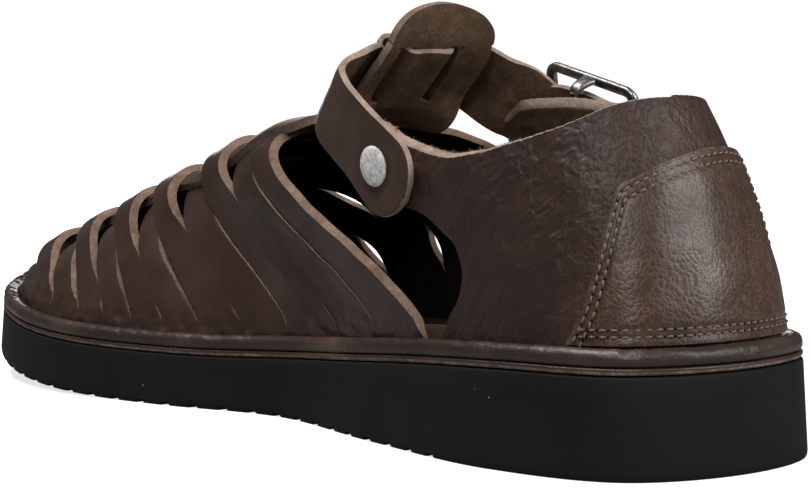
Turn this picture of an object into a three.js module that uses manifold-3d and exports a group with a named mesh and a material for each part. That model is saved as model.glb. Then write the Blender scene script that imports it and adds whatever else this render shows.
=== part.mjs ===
// A woven leather huarache sandal for the right foot, in millimetres, +Z up.
// Lengths run from the back of the heel (y = 0) to the toe; -x is the inner (medial) side of the foot.
// The finished group is moved so that its origin is under the middle of the sole.
import * as THREE from 'three';
import Module from 'manifold-3d';
import { mergeVertices } from 'three/addons/utils/BufferGeometryUtils.js';

const wasm = await Module();
wasm.setup();

// Driving dimensions
const length = 292;            // outsole, heel to toe
const heelHalfWidth = 37.8;
const waistInner = 29.3;       // inner edge at the arch, from the heel's centre line
const ballInner = 49.3;
const ballOuter = 52;
const toeShift = -6.8;         // the toe's tip lies toward the inner side
const heelThickness = 21.5;    // black wedge under the heel
const toeThickness = 13.4;     // black wedge under the ball
const toeSpring = 11.1;
const springStart = 175;       // where the sole leaves the ground
const soleFlare = 1.2;         // the wedge is wider at the ground
const gap = 0.3;               // clearance between pieces that touch
const plateThickness = 1.5;    // leather midsole
const weltHeight = 3.4;
const weltWidth = 3.7;
const leather = 2;             // wall of the upper
const upperInset = 5.7;        // outside of the upper at the feather line, from the outline
const insoleThickness = 3;
const strapWidth = 20;
const strapThickness = 2;
const centreStrapHalf = 7.5;   // half-width of the strap along the ridge
const heelCrown = 104;         // height that the heel's ribs aim at
const weaveStep = 2.2;         // how far an over or under strip leaves the plain surface

// Rear edge of each strip, from the toe to the instep: along the ridge, inner base, outer base.
const stripEdges = [
  { ridge: 281.0, inner: 286.2, outer: 286.2 },
  { ridge: 277.0, inner: 266.0, outer: 268.0 },
  { ridge: 268.0, inner: 238.0, outer: 244.0 },
  { ridge: 256.5, inner: 222.5, outer: 229.0 },
  { ridge: 246.0, inner: 207.5, outer: 216.0 },
  { ridge: 235.5, inner: 196.0, outer: 205.0 },
  { ridge: 225.0, inner: 185.0, outer: 195.0 },
  { ridge: 214.5, inner: 172.5, outer: 184.0 },
  { ridge: 205.0, inner: 159.5, outer: 172.0 },
  { ridge: 195.0, inner: 147.0, outer: 160.0 },
  { ridge: 183.0, inner: 131.5, outer: 145.0 },
  { ridge: 170.0, inner: 109.0, outer: 127.0 },
  { ridge: 157.0, inner: 88.5, outer: 106.0 },
  { ridge: 144.5, inner: 69.0, outer: 88.0 },
];
const firstStrip = 2;          // row of the table where the first strip starts
const stripCount = 11;

// Ridge of the last, from the ankle to the toe.
const ridge = [
  { y: 60, x: 0, z: heelCrown },
  { y: 100, x: -2, z: 86 },
  { y: 138, x: -5, z: 75.2 },
  { y: 150, x: -6, z: 74.2 },
  { y: 161, x: -6.6, z: 71 },
  { y: 172, x: -7, z: 67.2 },
  { y: 201, x: -8, z: 58 },
  { y: 237, x: -9, z: 46.5 },
  { y: 266, x: -9, z: 37.3 },
  { y: 278, x: -8, z: 32.6 },
  { y: 282, x: -7, z: 30.2 },
];

const vec = (x, y, z) => new THREE.Vector3(x, y, z);
const mix = THREE.MathUtils.lerp;
const clamp = THREE.MathUtils.clamp;
const smooth = THREE.MathUtils.smoothstep;

// Value of a table's column at a place of another column, through a monotone cubic.
function lookUp(rows, from, to, at) {
  const n = rows.length;
  const rising = rows[n - 1][from] > rows[0][from];
  const ordered = rising ? rows : [...rows].reverse();
  const a = ordered.map((row) => row[from]);
  const b = ordered.map((row) => row[to]);
  const slope = (i) => (b[i + 1] - b[i]) / (a[i + 1] - a[i]);
  const tangent = (i) => {
    if (i === 0) return slope(0);
    if (i === n - 1) return slope(n - 2);
    const before = slope(i - 1);
    const after = slope(i);
    return before * after <= 0 ? 0 : (2 * before * after) / (before + after);
  };
  const place = clamp(at, a[0], a[n - 1]);
  let i = 0;
  while (i < n - 2 && place > a[i + 1]) i += 1;
  const h = a[i + 1] - a[i];
  const t = (place - a[i]) / h;
  const rise = b[i + 1] - b[i];
  const start = tangent(i) * h;
  const end = tangent(i + 1) * h;
  return b[i] + t * (start + t * (3 * rise - 2 * start - end + t * (start + end - 2 * rise)));
}

// ---- Plan of the sole ----

function outlineCurve() {
  const heelInner = -heelHalfWidth;
  const midInner = -(waistInner + ballInner) / 2;
  const points = [
    [0, 0], [heelInner * 0.72, 9], [heelInner, 40], [-(waistInner * 0.35 + heelHalfWidth * 0.65), 86],
    [-waistInner, 132], [midInner - 1, 169], [-ballInner, 213], [4 - ballInner, 246],
    [toeShift - 25, 273], [toeShift, length], [toeShift + 27, 280], [toeShift + 45, 253],
    [ballOuter - 3, 215], [ballOuter, 180], [ballOuter - 6, 140], [(ballOuter + heelHalfWidth) / 2 - 4, 95],
    [heelHalfWidth, 45], [heelHalfWidth * 0.72, 9],
  ];
  return new THREE.CatmullRomCurve3(points.map(([x, y]) => vec(x, y, 0)), true, 'centripetal');
}

const outlineSamples = 720;
const outlinePoints = outlineCurve().getSpacedPoints(outlineSamples).slice(0, outlineSamples);

// The outline moved inward by an amount, as points in order from the heel round the inner side.
function insetOutline(inset) {
  return outlinePoints.map((point, i) => {
    const before = outlinePoints[(i + outlineSamples - 1) % outlineSamples];
    const after = outlinePoints[(i + 1) % outlineSamples];
    const along = after.clone().sub(before).normalize();
    return vec(point.x + along.y * inset, point.y - along.x * inset, 0);
  });
}

// The two sides of an inset outline, each as x for a given y.
function footprint(inset) {
  const points = insetOutline(inset);
  const ys = points.map((point) => point.y);
  const back = ys.indexOf(Math.min(...ys));
  const front = ys.indexOf(Math.max(...ys));
  const walk = (step) => {
    const side = [];
    for (let i = back; i !== front; i = (i + step + outlineSamples) % outlineSamples) side.push(points[i]);
    side.push(points[front]);
    return side;
  };
  const sides = { inner: walk(1), outer: walk(-1) };
  const x = (side, y) => {
    const points = sides[side];
    let i = 0;
    while (i < points.length - 2 && points[i + 1].y < y) i += 1;
    const t = clamp((y - points[i].y) / (points[i + 1].y - points[i].y), 0, 1);
    return mix(points[i].x, points[i + 1].x, t);
  };
  return { start: points[back].y, end: points[front].y, x };
}

// ---- Heights ----

const groundHeight = (y) => toeSpring * clamp((y - springStart) / (length - springStart), 0, 1) ** 2;

function wedgeTop(y) {
  const t = smooth(y, 27, 164);
  return 0.9 * groundHeight(y) + mix(heelThickness, toeThickness, t);
}

const seatHeight = (y) => wedgeTop(y) + gap + plateThickness + gap;

// ---- Solids from rings of points ----

// Skin through rings of equal length; open ends are closed by joining each ring's two halves.
function loft(rings, closed = false) {
  const count = rings[0].length;
  const positions = rings.flat().flatMap((point) => [point.x, point.y, point.z]);
  const index = [];
  const quad = (a, b, c, d) => index.push(a, b, c, a, c, d);
  const last = closed ? rings.length : rings.length - 1;
  for (let r = 0; r < last; r += 1) {
    const next = ((r + 1) % rings.length) * count;
    for (let i = 0; i < count; i += 1) {
      const j = (i + 1) % count;
      quad(r * count + i, r * count + j, next + j, next + i);
    }
  }
  if (!closed) {
    const top = (rings.length - 1) * count;
    for (let i = 0; i < count / 2 - 1; i += 1) {
      quad(count - 1 - i, count - 2 - i, i + 1, i);
      quad(top + i, top + i + 1, top + count - 2 - i, top + count - 1 - i);
    }
  }
  const geometry = new THREE.BufferGeometry();
  geometry.setAttribute('position', new THREE.Float32BufferAttribute(positions, 3));
  geometry.setIndex(signedVolume(positions, index) < 0 ? index.reverse() : index);
  return geometry;
}

function signedVolume(positions, index) {
  const point = (i) => vec(...positions.slice(i * 3, i * 3 + 3));
  let volume = 0;
  for (let i = 0; i < index.length; i += 3) {
    volume += point(index[i]).dot(point(index[i + 1]).cross(point(index[i + 2])));
  }
  return volume / 6;
}

// A plate under the foot: outlines one above the other, each joined across by y.
function plate(levels, stations) {
  const ring = ({ inset, height }) => {
    const plan = footprint(inset);
    const at = (side, j) => {
      const y = mix(plan.start, plan.end, (1 - Math.cos((Math.PI * (j + 0.5)) / stations)) / 2);
      return vec(plan.x(side, y), y, height(y));
    };
    const steps = [...Array(stations).keys()];
    return [...steps.map((j) => at('inner', j)), ...steps.reverse().map((j) => at('outer', j))];
  };
  return loft(levels.map(ring));
}

// A bead round the whole outline, from a section of insets and rises above the wedge.
function bead(section, stations) {
  const outlines = section.map(({ inset }) => insetOutline(inset));
  const rings = [];
  for (let s = 0; s < stations; s += 1) {
    const i = Math.round((s * outlineSamples) / stations);
    rings.push(section.map(({ rise }, k) => {
      const point = outlines[k][i];
      return vec(point.x, point.y, wedgeTop(point.y) + rise);
    }));
  }
  return loft(rings, true);
}

function solid(geometry) {
  const plain = geometry.clone();
  plain.deleteAttribute('normal');
  plain.deleteAttribute('uv');
  const merged = mergeVertices(plain, 1e-4);
  return new wasm.Manifold(new wasm.Mesh({
    numProp: 3,
    vertProperties: new Float32Array(merged.attributes.position.array),
    triVerts: new Uint32Array(merged.index.array),
  }));
}

function geometryOf(body) {
  const mesh = body.getMesh();
  const geometry = new THREE.BufferGeometry();
  geometry.setAttribute('position', new THREE.BufferAttribute(mesh.vertProperties, 3));
  geometry.setIndex(new THREE.BufferAttribute(mesh.triVerts, 1));
  return geometry;
}

// An outline in the side view (y, z) drawn out along x.
function sidePrism(outline, fromX, toX) {
  const shape = new THREE.Shape(outline.map(([y, z]) => new THREE.Vector2(y, z)));
  const geometry = new THREE.ExtrudeGeometry(shape, { depth: toX - fromX, bevelEnabled: false });
  geometry.applyMatrix4(new THREE.Matrix4().makeBasis(vec(0, 1, 0), vec(0, 0, 1), vec(1, 0, 0)));
  geometry.translate(fromX, 0, 0);
  return solid(geometry);
}

// A smooth side-view outline through a few points.
function roundedOutline(points, divisions) {
  const curve = new THREE.SplineCurve(points.map(([y, z]) => new THREE.Vector2(y, z)));
  return curve.getSpacedPoints(divisions).map((point) => [point.x, point.y]);
}

// ---- The last: ribs from the feather line to the ridge ----

const featherLine = footprint(upperInset);

function ridgePoint(y) {
  return vec(lookUp(ridge, 'y', 'x', y), y, lookUp(ridge, 'y', 'z', y));
}

function featherPoint(side, y) {
  return vec(featherLine.x(side, y), y, seatHeight(y));
}

const stripRows = stripEdges.map((row, i) => ({ ...row, place: i }));

// Vamp: place counts the strips' edges, across runs from the inner base (-1) over the ridge to the outer (1).
function vampPoint(place, across) {
  const side = across < 0 ? 'inner' : 'outer';
  const base = featherPoint(side, lookUp(stripRows, 'place', side, place));
  const top = ridgePoint(lookUp(stripRows, 'place', 'ridge', place));
  const turn = (1 - Math.abs(across)) * Math.PI / 2;
  const climb = Math.sin(turn);
  const toInstep = smooth(place, firstStrip + 4, firstStrip + 9);
  const boxy = mix(1, 1.65, toInstep);
  const inward = (1 - Math.cos(turn)) ** boxy;
  const toeSweep = mix(2.4, 1, smooth(place, firstStrip, firstStrip + 7));
  const slant = across < 0 ? 0 : 0.58;
  const sweep = mix(climb ** toeSweep, mix(smooth(climb, 0, 1), inward, slant), toInstep);
  return vec(mix(base.x, top.x, inward), mix(base.y, top.y, sweep), mix(base.z, top.z, climb));
}

// Quarter: around runs from the inner front round the heel, climb from the feather line (0) to the crown (1).
function quarterPoint(around, climb) {
  const base = outlineAround(around);
  const top = ridgePoint(46.5 + 0.5 * base.y);
  const turn = climb * Math.PI / 2;
  const boxy = mix(0.7, 1.6, smooth(base.y, 0, 95));
  const inward = (1 - Math.cos(turn)) ** boxy;
  const z = mix(seatHeight(base.y), top.z, Math.sin(turn));
  return vec(mix(base.x, top.x, inward), mix(base.y, top.y, inward), z);
}

const featherPoints = insetOutline(upperInset);

function outlineAround(samples) {
  const whole = Math.floor(samples);
  const wrap = (i) => ((i % outlineSamples) + outlineSamples) % outlineSamples;
  return featherPoints[wrap(whole)].clone().lerp(featherPoints[wrap(whole + 1)], samples - whole);
}

// A surface's point moved along its outward normal.
function raised(surface, a, b, lift, outward) {
  const point = surface(a, b);
  const stepA = surface(a + 0.02, b).sub(surface(a - 0.02, b));
  const stepB = surface(a, b + 0.002).sub(surface(a, b - 0.002));
  const normal = stepA.cross(stepB).normalize();
  if (normal.dot(outward(point)) < 0) normal.negate();
  return point.addScaledVector(normal, lift);
}

const fromLast = (point) => vec(point.x * 1.5 + 4, 0, Math.max(point.z - 30, 4));
const fromHeel = (point) => vec(point.x, (point.y - 75) * 0.8, 4);

// ---- The pieces ----

function outsole() {
  const body = plate([
    { inset: 0.8, height: groundHeight },
    { inset: 0, height: (y) => groundHeight(y) + 1 },
    { inset: soleFlare, height: wedgeTop },
  ], 48);
  return geometryOf(solid(body).subtract(treadGrooves()));
}

// Shallow transverse grooves from the arch to the toe; the heel stays smooth.
function treadGrooves() {
  const pitch = 9;
  const depth = 1.1;
  const grooves = [];
  for (let y = 60; y < length - 14; y += pitch) {
    const floor = groundHeight(y) + depth;
    const outline = [[y - 1.6, floor - 3], [y + 1.6, floor - 3], [y + 0.9, floor], [y - 0.9, floor]];
    grooves.push(sidePrism(outline, -80, 80));
  }
  return wasm.Manifold.union(grooves);
}

function midsole() {
  const inset = soleFlare + 0.3;
  const lower = (y) => wedgeTop(y) + gap;
  return plate([{ inset, height: lower }, { inset, height: (y) => lower(y) + plateThickness }], 48);
}

function welt() {
  const outside = soleFlare + 0.5;
  const base = gap + plateThickness + gap;
  const inside = outside + weltWidth;
  const section = [
    { inset: outside + 0.7, rise: base }, { inset: outside, rise: base + 0.8 },
    { inset: outside, rise: base + 1.9 }, { inset: outside + 0.8, rise: base + 3 },
    { inset: outside + 1.9, rise: base + weltHeight }, { inset: inside - 0.5, rise: base + weltHeight },
    { inset: inside, rise: base + 2.9 }, { inset: inside, rise: base },
  ];
  return bead(section, 72);
}

function insole() {
  const inset = upperInset + leather + 5 * gap;
  return plate([
    { inset, height: seatHeight },
    { inset: inset + 3, height: (y) => seatHeight(y) + insoleThickness },
  ], 44);
}

// The band that every strip and the quarter rise from.
function lastingBand() {
  const base = gap + plateThickness + gap;
  const section = [
    { inset: upperInset, rise: base }, { inset: upperInset + 0.45, rise: base + 4 },
    { inset: upperInset + 0.9, rise: base + 6.5 }, { inset: upperInset + leather, rise: base + 6.5 },
    { inset: upperInset + leather, rise: base },
  ];
  return solid(bead([...section, { inset: upperInset + 1, rise: base }], 72));
}

// How far across the vamp a width from the ridge reaches, at a strip's place.
function acrossAt(place, side, width) {
  const base = featherPoint(side, lookUp(stripRows, 'place', side, place));
  const top = ridgePoint(lookUp(stripRows, 'place', 'ridge', place));
  const half = Math.max(Math.abs(top.x - base.x), width * 1.15);
  return (2 / Math.PI) * Math.asin(width / half);
}

// How far a strip lies from the plain surface: level low down, over or under the centre strap on top.
function stripLift(over, place, across) {
  const clearOfStrap = acrossAt(place, across < 0 ? 'inner' : 'outer', centreStrapHalf + 1);
  return (over ? 1 : -1) * weaveStep * (1 - smooth(Math.abs(across), clearOfStrap, clearOfStrap + 0.3));
}

// A slab of the vamp between two places along it.
function vampSlab(from, to, over) {
  const stations = 20;
  const columns = 3;
  const rings = [];
  for (let s = 0; s <= stations; s += 1) {
    const across = mix(-0.985, 0.985, s / stations);
    const line = (depth) => [...Array(columns).keys()].map((c) => {
      const place = mix(from, to, c / (columns - 1));
      return raised(vampPoint, place, across, stripLift(over, place, across) - depth, fromLast);
    });
    rings.push([...line(0), ...line(leather).reverse()]);
  }
  return solid(loft(rings));
}

function strips() {
  const slit = 0.05;
  const made = [];
  for (let i = 0; i < stripCount; i += 1) {
    const over = i % 2 === 0 && i < stripCount - 2;
    const from = firstStrip + i + slit;
    made.push(vampSlab(from, from + 1 - 2 * slit, over));
  }
  return made;
}

function toeCap() {
  const stations = 9;
  const columns = 13;
  const rings = [];
  for (let s = 0; s <= stations; s += 1) {
    const place = mix(0.12, firstStrip - 0.05, s / stations);
    const line = (depth) => [...Array(columns).keys()].map((c) => {
      const across = mix(-0.97, 0.97, c / (columns - 1));
      return raised(vampPoint, place, across, stripLift(false, place, across) - depth, fromLast);
    });
    rings.push([...line(0), ...line(leather).reverse()]);
  }
  return solid(loft(rings));
}

// Wall round the heel between two distances outside the plain surface.
function quarterWall(inner, outer) {
  const samplesPerMillimetre = outlineSamples / outlineCurve().getLength();
  const reach = 148 * samplesPerMillimetre;
  const stations = 38;
  const rows = 8;
  const rings = [];
  for (let s = 0; s <= stations; s += 1) {
    const around = mix(reach, -reach, s / stations);
    const line = (lift) => [...Array(rows).keys()].map((r) => {
      return raised(quarterPoint, around, mix(0.01, 0.62, r / (rows - 1)), lift, fromHeel);
    });
    rings.push([...line(outer), ...line(inner).reverse()]);
  }
  return solid(loft(rings));
}

function quarter() {
  const innerFront = roundedOutline([
    [62, 15], [62, 23], [59.5, 30], [55.8, 35], [55.2, 41], [58, 46.5], [63, 49.3], [71, 52.7], [86, 56], [98, 63],
    [101, 70], [98.8, 74.7], [91, 72.3], [83.3, 70.1], [69, 67.4], [62.8, 66.8], [52.3, 68], [42.6, 70.2],
    [34.3, 72.6], [23, 78.5], [8, 81], [-30, 84],
  ], 60);
  const outerFront = roundedOutline([
    [76, 15], [74, 26], [68, 35], [67, 44], [73, 52], [87, 57], [102, 61.5], [109, 68], [107.5, 75], [97, 78.3],
    [85, 78.3], [64, 76.6], [48, 74.6], [34, 75], [23, 78.5], [8, 81], [-30, 84],
  ], 60);
  const keepInner = sidePrism([[-30, -5], [62, -5], ...innerFront], -90, 0);
  const keepOuter = sidePrism([[-30, -5], [76, -5], ...outerFront], 0, 90);
  return quarterWall(-leather, 0).intersect(keepInner.add(keepOuter));
}

function upper() {
  return geometryOf(wasm.Manifold.union([lastingBand(), toeCap(), quarter(), ...strips()]));
}

function heelCounter() {
  const thickness = 1.6;
  const clearOfWelt = heelThickness + 2 * gap + plateThickness + weltHeight + gap;
  const edge = roundedOutline([
    [24, clearOfWelt], [20.9, 36], [20, 47], [20, 53], [20, 57], [19.2, 61.5], [18, 65.5], [12, 67.5], [-30, 68],
  ], 40);
  const keep = sidePrism([[-30, clearOfWelt], ...edge], -90, 90);
  return geometryOf(quarterWall(gap, gap + thickness).intersect(keep));
}

// ---- Instep strap, tongue and buckle ----

// The instep lies square to these: along the tab, and out of its face.
const tabAlong = vec(0, -0.76, 0.65);
const tabOut = vec(0, 0.65, 0.76);
const tabHeight = 134.2;       // distance of the tab's middle surface along tabOut
const strapLine = -26.3;       // the strap's centre line along tabAlong
const slits = [-11, 3];        // x of the two slits in the tab
const slitWidth = 5;

const onInstep = (x, out, along = strapLine) => {
  const point = vec(x, 0, 0).addScaledVector(tabOut, out).addScaledVector(tabAlong, along);
  return point;
};

// The buckle's own directions: back along the strap, up across it, and out of the shoe.
const buckleBack = vec(0.12, -0.95, -0.28).normalize();
const buckleOut = buckleBack.clone().cross(vec(-0.38, -0.3, 0.87)).negate().normalize();
const buckleUp = buckleBack.clone().cross(buckleOut).normalize();
const buckleBasis = new THREE.Matrix4().makeBasis(buckleBack, buckleOut, buckleUp);
const buckleCentre = vec(37.1, 89.3, 70.6);

const onBuckle = (back, out, up = 0) => buckleCentre.clone()
  .addScaledVector(buckleBack, back).addScaledVector(buckleOut, out).addScaledVector(buckleUp, up);

// The strap's centre line, from the riveted end over the instep and through the tab to the buckle.
function strapRoute() {
  const over = tabHeight + 2.4;
  const under = tabHeight - 3;
  const weave = slits.flatMap((x, i) => {
    const first = i === 0 ? over : under;
    const last = i === 0 ? under : over;
    return [onInstep(x - 1.9, first), onInstep(x, tabHeight - 0.3), onInstep(x + 1.9, last)];
  });
  return [
    onInstep(-31.6, 91.5, -22.5), onInstep(-31.4, 98, -23), onInstep(-31.6, 104.5, -23.8),
    onInstep(-32.4, 110.5, -24.5), onInstep(-33.4, 116.5, -25), onInstep(-33.1, 122, -25.6),
    onInstep(-30.5, 126.8), onInstep(-26, 130.8), onInstep(-20, 134), onInstep(-15.5, over - 1),
    ...weave, onInstep(8, over), onInstep(14.5, 135), onInstep(20, 131.8),
    vec(27.7, 104, 80), vec(32.9, 100.8, 75), onBuckle(-7, -0.3), onBuckle(0, 0.3), onBuckle(9, -0.3),
    onBuckle(20, -0.8), onBuckle(31, -1.6),
  ];
}

function instepStrap() {
  const curve = new THREE.CatmullRomCurve3(strapRoute(), false, 'centripetal');
  const stations = 4 * (curve.points.length - 1);
  const reach = curve.getLength();
  const lengths = curve.getLengths(stations);
  const half = strapWidth / 2;
  const rings = [];
  for (let s = 0; s <= stations; s += 1) {
    const point = curve.getPoint(s / stations);
    const along = curve.getTangent(s / stations);
    const up = tabAlong.clone().lerp(buckleUp, smooth(point.x, 13, 28));
    up.addScaledVector(along, -up.dot(along)).normalize();
    const out = along.clone().cross(up);
    const fromEnd = clamp(Math.min(lengths[s], reach - lengths[s]) / half, 0.02, 1);
    const width = half * Math.sqrt(1 - (1 - fromEnd) ** 2);
    const corner = (u, o) => point.clone().addScaledVector(up, u * width).addScaledVector(out, o * strapThickness / 2);
    rings.push([corner(1, 1), corner(-1, 1), corner(-1, -1), corner(1, -1)]);
  }
  const hole = new THREE.CylinderGeometry(2.4, 2.4, 12, 16);
  hole.applyMatrix4(buckleBasis);
  hole.translate(...onBuckle(-4, 0).toArray());
  return geometryOf(solid(loft(rings)).subtract(solid(hole)));
}

// Free part of the tongue, from the last strip to the tab's round top.
const tab = [
  { y: 137.5, z: 74.2, half: 7.5, x: -5.5 }, { y: 129, z: 75.4, half: 9.5, x: -4.3 },
  { y: 122, z: 76.2, half: 12.5, x: -2.8 }, { y: 117, z: 77, half: 14.8, x: -1.6 },
  { y: 112, z: 80.6, half: 16, x: -1 }, { y: 106, z: 85.8, half: 16.6, x: -1 },
  { y: 100.5, z: 90.7, half: 16.2, x: -1 }, { y: 97.6, z: 94.5, half: 14.6, x: -1 },
  { y: 96, z: 98, half: 12, x: -1 }, { y: 95.3, z: 100.4, half: 8.5, x: -1 },
  { y: 95, z: 101.6, half: 4.5, x: -1 },
];

// Centre strap from the toe up the ridge, then the free tab that the instep strap runs through.
function tongue() {
  const columns = 5;
  const rings = [];
  const stations = 38;
  const steps = [...Array(columns).keys()].map((c) => mix(-1, 1, c / (columns - 1)));
  const lastPlace = firstStrip + stripCount;
  for (let s = 0; s <= stations; s += 1) {
    const place = mix(0.4, lastPlace, s / stations);
    const line = (depth) => steps.map((step) => {
      const across = step * acrossAt(place, step < 0 ? 'inner' : 'outer', centreStrapHalf);
      return raised(vampPoint, place, across, -depth, fromLast);
    });
    rings.push([...line(gap / 2), ...line(leather - gap / 2).reverse()]);
  }
  const halfThickness = (leather - gap) / 2;
  tab.forEach((row, i) => {
    const before = tab[Math.max(i - 1, 0)];
    const after = tab[Math.min(i + 1, tab.length - 1)];
    const out = vec(0, after.z - before.z, before.y - after.y).normalize();
    const line = (lift) => steps.map((step) => {
      const x = step * row.half;
      return vec(x + row.x, row.y, row.z).addScaledVector(out, lift - 0.008 * x * x);
    });
    rings.push([...line(halfThickness), ...line(-halfThickness).reverse()]);
  });
  const cuts = slits.map((x) => {
    const slit = new THREE.BoxGeometry(slitWidth, 14, strapWidth + 1.4);
    slit.applyMatrix4(new THREE.Matrix4().makeBasis(vec(1, 0, 0), tabOut, tabAlong));
    slit.translate(...onInstep(x, tabHeight).toArray());
    return solid(slit);
  });
  return geometryOf(solid(loft(rings)).subtract(wasm.Manifold.union(cuts)));
}

// A straight bar between two places in the buckle's own directions.
function buckleBar(from, to, radius) {
  const start = onBuckle(...from);
  const end = onBuckle(...to);
  const bar = new THREE.CylinderGeometry(radius, radius, start.distanceTo(end), 10);
  const turn = new THREE.Quaternion().setFromUnitVectors(vec(0, 1, 0), end.clone().sub(start).normalize());
  bar.applyQuaternion(turn);
  bar.translate(...start.lerp(end, 0.5).toArray());
  return solid(bar);
}

const barDepth = -3.6;         // the centre bar lies under the strap
const frameHalfLength = 15;
const frameHalfWidth = 14;

function roundedRectangle(halfLength, halfWidth, radius) {
  const shape = new THREE.Shape();
  shape.moveTo(halfLength, radius - halfWidth);
  shape.absarc(halfLength - radius, halfWidth - radius, radius, 0, Math.PI / 2);
  shape.absarc(radius - halfLength, halfWidth - radius, radius, Math.PI / 2, Math.PI);
  shape.absarc(radius - halfLength, radius - halfWidth, radius, Math.PI, 1.5 * Math.PI);
  shape.absarc(halfLength - radius, radius - halfWidth, radius, 1.5 * Math.PI, 2 * Math.PI);
  return shape;
}

function buckleFrame() {
  const rail = 2.6;
  const thickness = 2;
  const outline = roundedRectangle(frameHalfWidth, frameHalfLength, 4);
  outline.holes.push(roundedRectangle(frameHalfWidth - rail, frameHalfLength - rail, 2));
  const ring = new THREE.ExtrudeGeometry(outline, { depth: thickness, bevelEnabled: false, curveSegments: 5 });
  ring.applyMatrix4(new THREE.Matrix4().makeBasis(buckleUp, buckleBack, buckleOut));
  ring.translate(...onBuckle(0, 1.7).toArray());
  const lugs = [-1, 1].map((side) => {
    const lug = new THREE.BoxGeometry(3.4, 2.6 - barDepth, rail - 0.4);
    lug.applyMatrix4(buckleBasis);
    lug.translate(...onBuckle(0, (2.6 + barDepth) / 2, side * (frameHalfWidth - rail / 2)).toArray());
    return solid(lug);
  });
  const bar = buckleBar([0, barDepth, -frameHalfWidth + 1], [0, barDepth, frameHalfWidth - 1], 1);
  return geometryOf(wasm.Manifold.union([solid(ring), ...lugs, bar]));
}

// The prong comes up through the strap's hole and lies on the front bar.
function buckleProng() {
  const points = [[-2.6, barDepth], [-3.4, -1], [-5, 2.2], [-8.5, 4.6], [-13, 5], [-15.6, 4.6]];
  const curve = new THREE.CatmullRomCurve3(points.map(([back, out]) => onBuckle(back, out)));
  const steps = 14;
  const radius = 0.9;
  const rings = [...Array(steps + 1).keys()].map((i) => {
    const middle = curve.getPoint(i / steps);
    const across = curve.getTangent(i / steps).cross(buckleUp);
    return [...Array(10).keys()].map((k) => {
      const turn = (2 * Math.PI * k) / 10;
      return middle.clone().addScaledVector(buckleUp, radius * Math.cos(turn))
        .addScaledVector(across, radius * Math.sin(turn));
    });
  });
  return geometryOf(solid(loft(rings)));
}

// Leather folded round the centre bar; its ends lie on the quarter.
function buckleHolder() {
  const thickness = 1;
  const half = 8;
  const middle = 1 + gap + thickness / 2;
  const turn = [...Array(7).keys()].map((i) => {
    const angle = Math.PI / 2 + (Math.PI * i) / 6;
    return { back: middle * Math.cos(angle), out: barDepth + middle * Math.sin(angle) };
  });
  const route = [{ back: 14, out: barDepth + middle - 2.3 }, { back: 7, out: barDepth + middle - 1 }, ...turn,
    { back: 7, out: barDepth - middle - 0.1 }, { back: 14, out: barDepth - middle - 0.4 }];
  const rings = route.map((here, i) => {
    const before = route[Math.max(i - 1, 0)];
    const after = route[Math.min(i + 1, route.length - 1)];
    const along = new THREE.Vector2(after.back - before.back, after.out - before.out).normalize();
    const corner = (lift, up) => onBuckle(here.back - along.y * lift, here.out + along.x * lift, up);
    const d = thickness / 2;
    return [corner(d, half), corner(d, -half), corner(-d, -half), corner(-d, half)];
  });
  const slot = new THREE.BoxGeometry(7, 5, 9);
  slot.applyMatrix4(buckleBasis);
  slot.translate(...onBuckle(-2.5, barDepth + 2).toArray());
  return geometryOf(solid(loft(rings)).subtract(solid(slot)));
}

function rivetCap() {
  const radius = 4.8;
  const profile = [[0, 0], [radius, 0], [radius, 0.5], [radius * 0.85, 1.05], [radius * 0.5, 1.4], [0, 1.5]];
  const cap = new THREE.LatheGeometry(profile.map(([x, y]) => new THREE.Vector2(x, y)), 28);
  cap.applyMatrix4(new THREE.Matrix4().makeBasis(vec(0, 0, 1), vec(-1, 0, 0), vec(0, -1, 0)));
  cap.translate(-33.9, 88.4, 64.5);
  return geometryOf(solid(cap));
}

function material(color, roughness, metalness = 0) {
  return new THREE.MeshStandardMaterial({ color, roughness, metalness });
}

const rubberBlack = material(0x1c1c1d, 0.85);
const leatherBrown = material(0x3f302b, 0.5);
const leatherEdge = material(0x6b5343, 0.8);
const weltBrown = material(0x4a3930, 0.6);
const steel = material(0x8c8a86, 0.45, 1);

function piece(name, geometry, finish) {
  geometry.computeVertexNormals();
  const mesh = new THREE.Mesh(geometry, finish);
  mesh.name = name;
  return mesh;
}

const shoe = new THREE.Group();
shoe.add(
  piece('outsole', outsole(), rubberBlack),
  piece('midsole', midsole(), leatherEdge),
  piece('welt', welt(), weltBrown),
  piece('insole', insole(), leatherEdge),
  piece('upper', upper(), leatherBrown),
  piece('heel_counter', heelCounter(), leatherBrown),
  piece('tongue', tongue(), leatherBrown),
  piece('instep_strap', instepStrap(), leatherBrown),
  piece('rivet_cap', rivetCap(), steel),
  piece('buckle_frame', buckleFrame(), steel),
  piece('buckle_prong', buckleProng(), steel),
  piece('buckle_holder', buckleHolder(), leatherBrown),
);
shoe.position.set((ballInner - ballOuter) / 2, -length / 2, 0);

export default shoe;
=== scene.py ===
# Huarache sandal, right foot: leather pieces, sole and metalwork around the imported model.
# Lengths are in millimetres: y runs forward from the back of the heel, z up from the floor, -x is the inner side.
import math

import bpy
import numpy as np
from mathutils import Matrix, Vector


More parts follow.
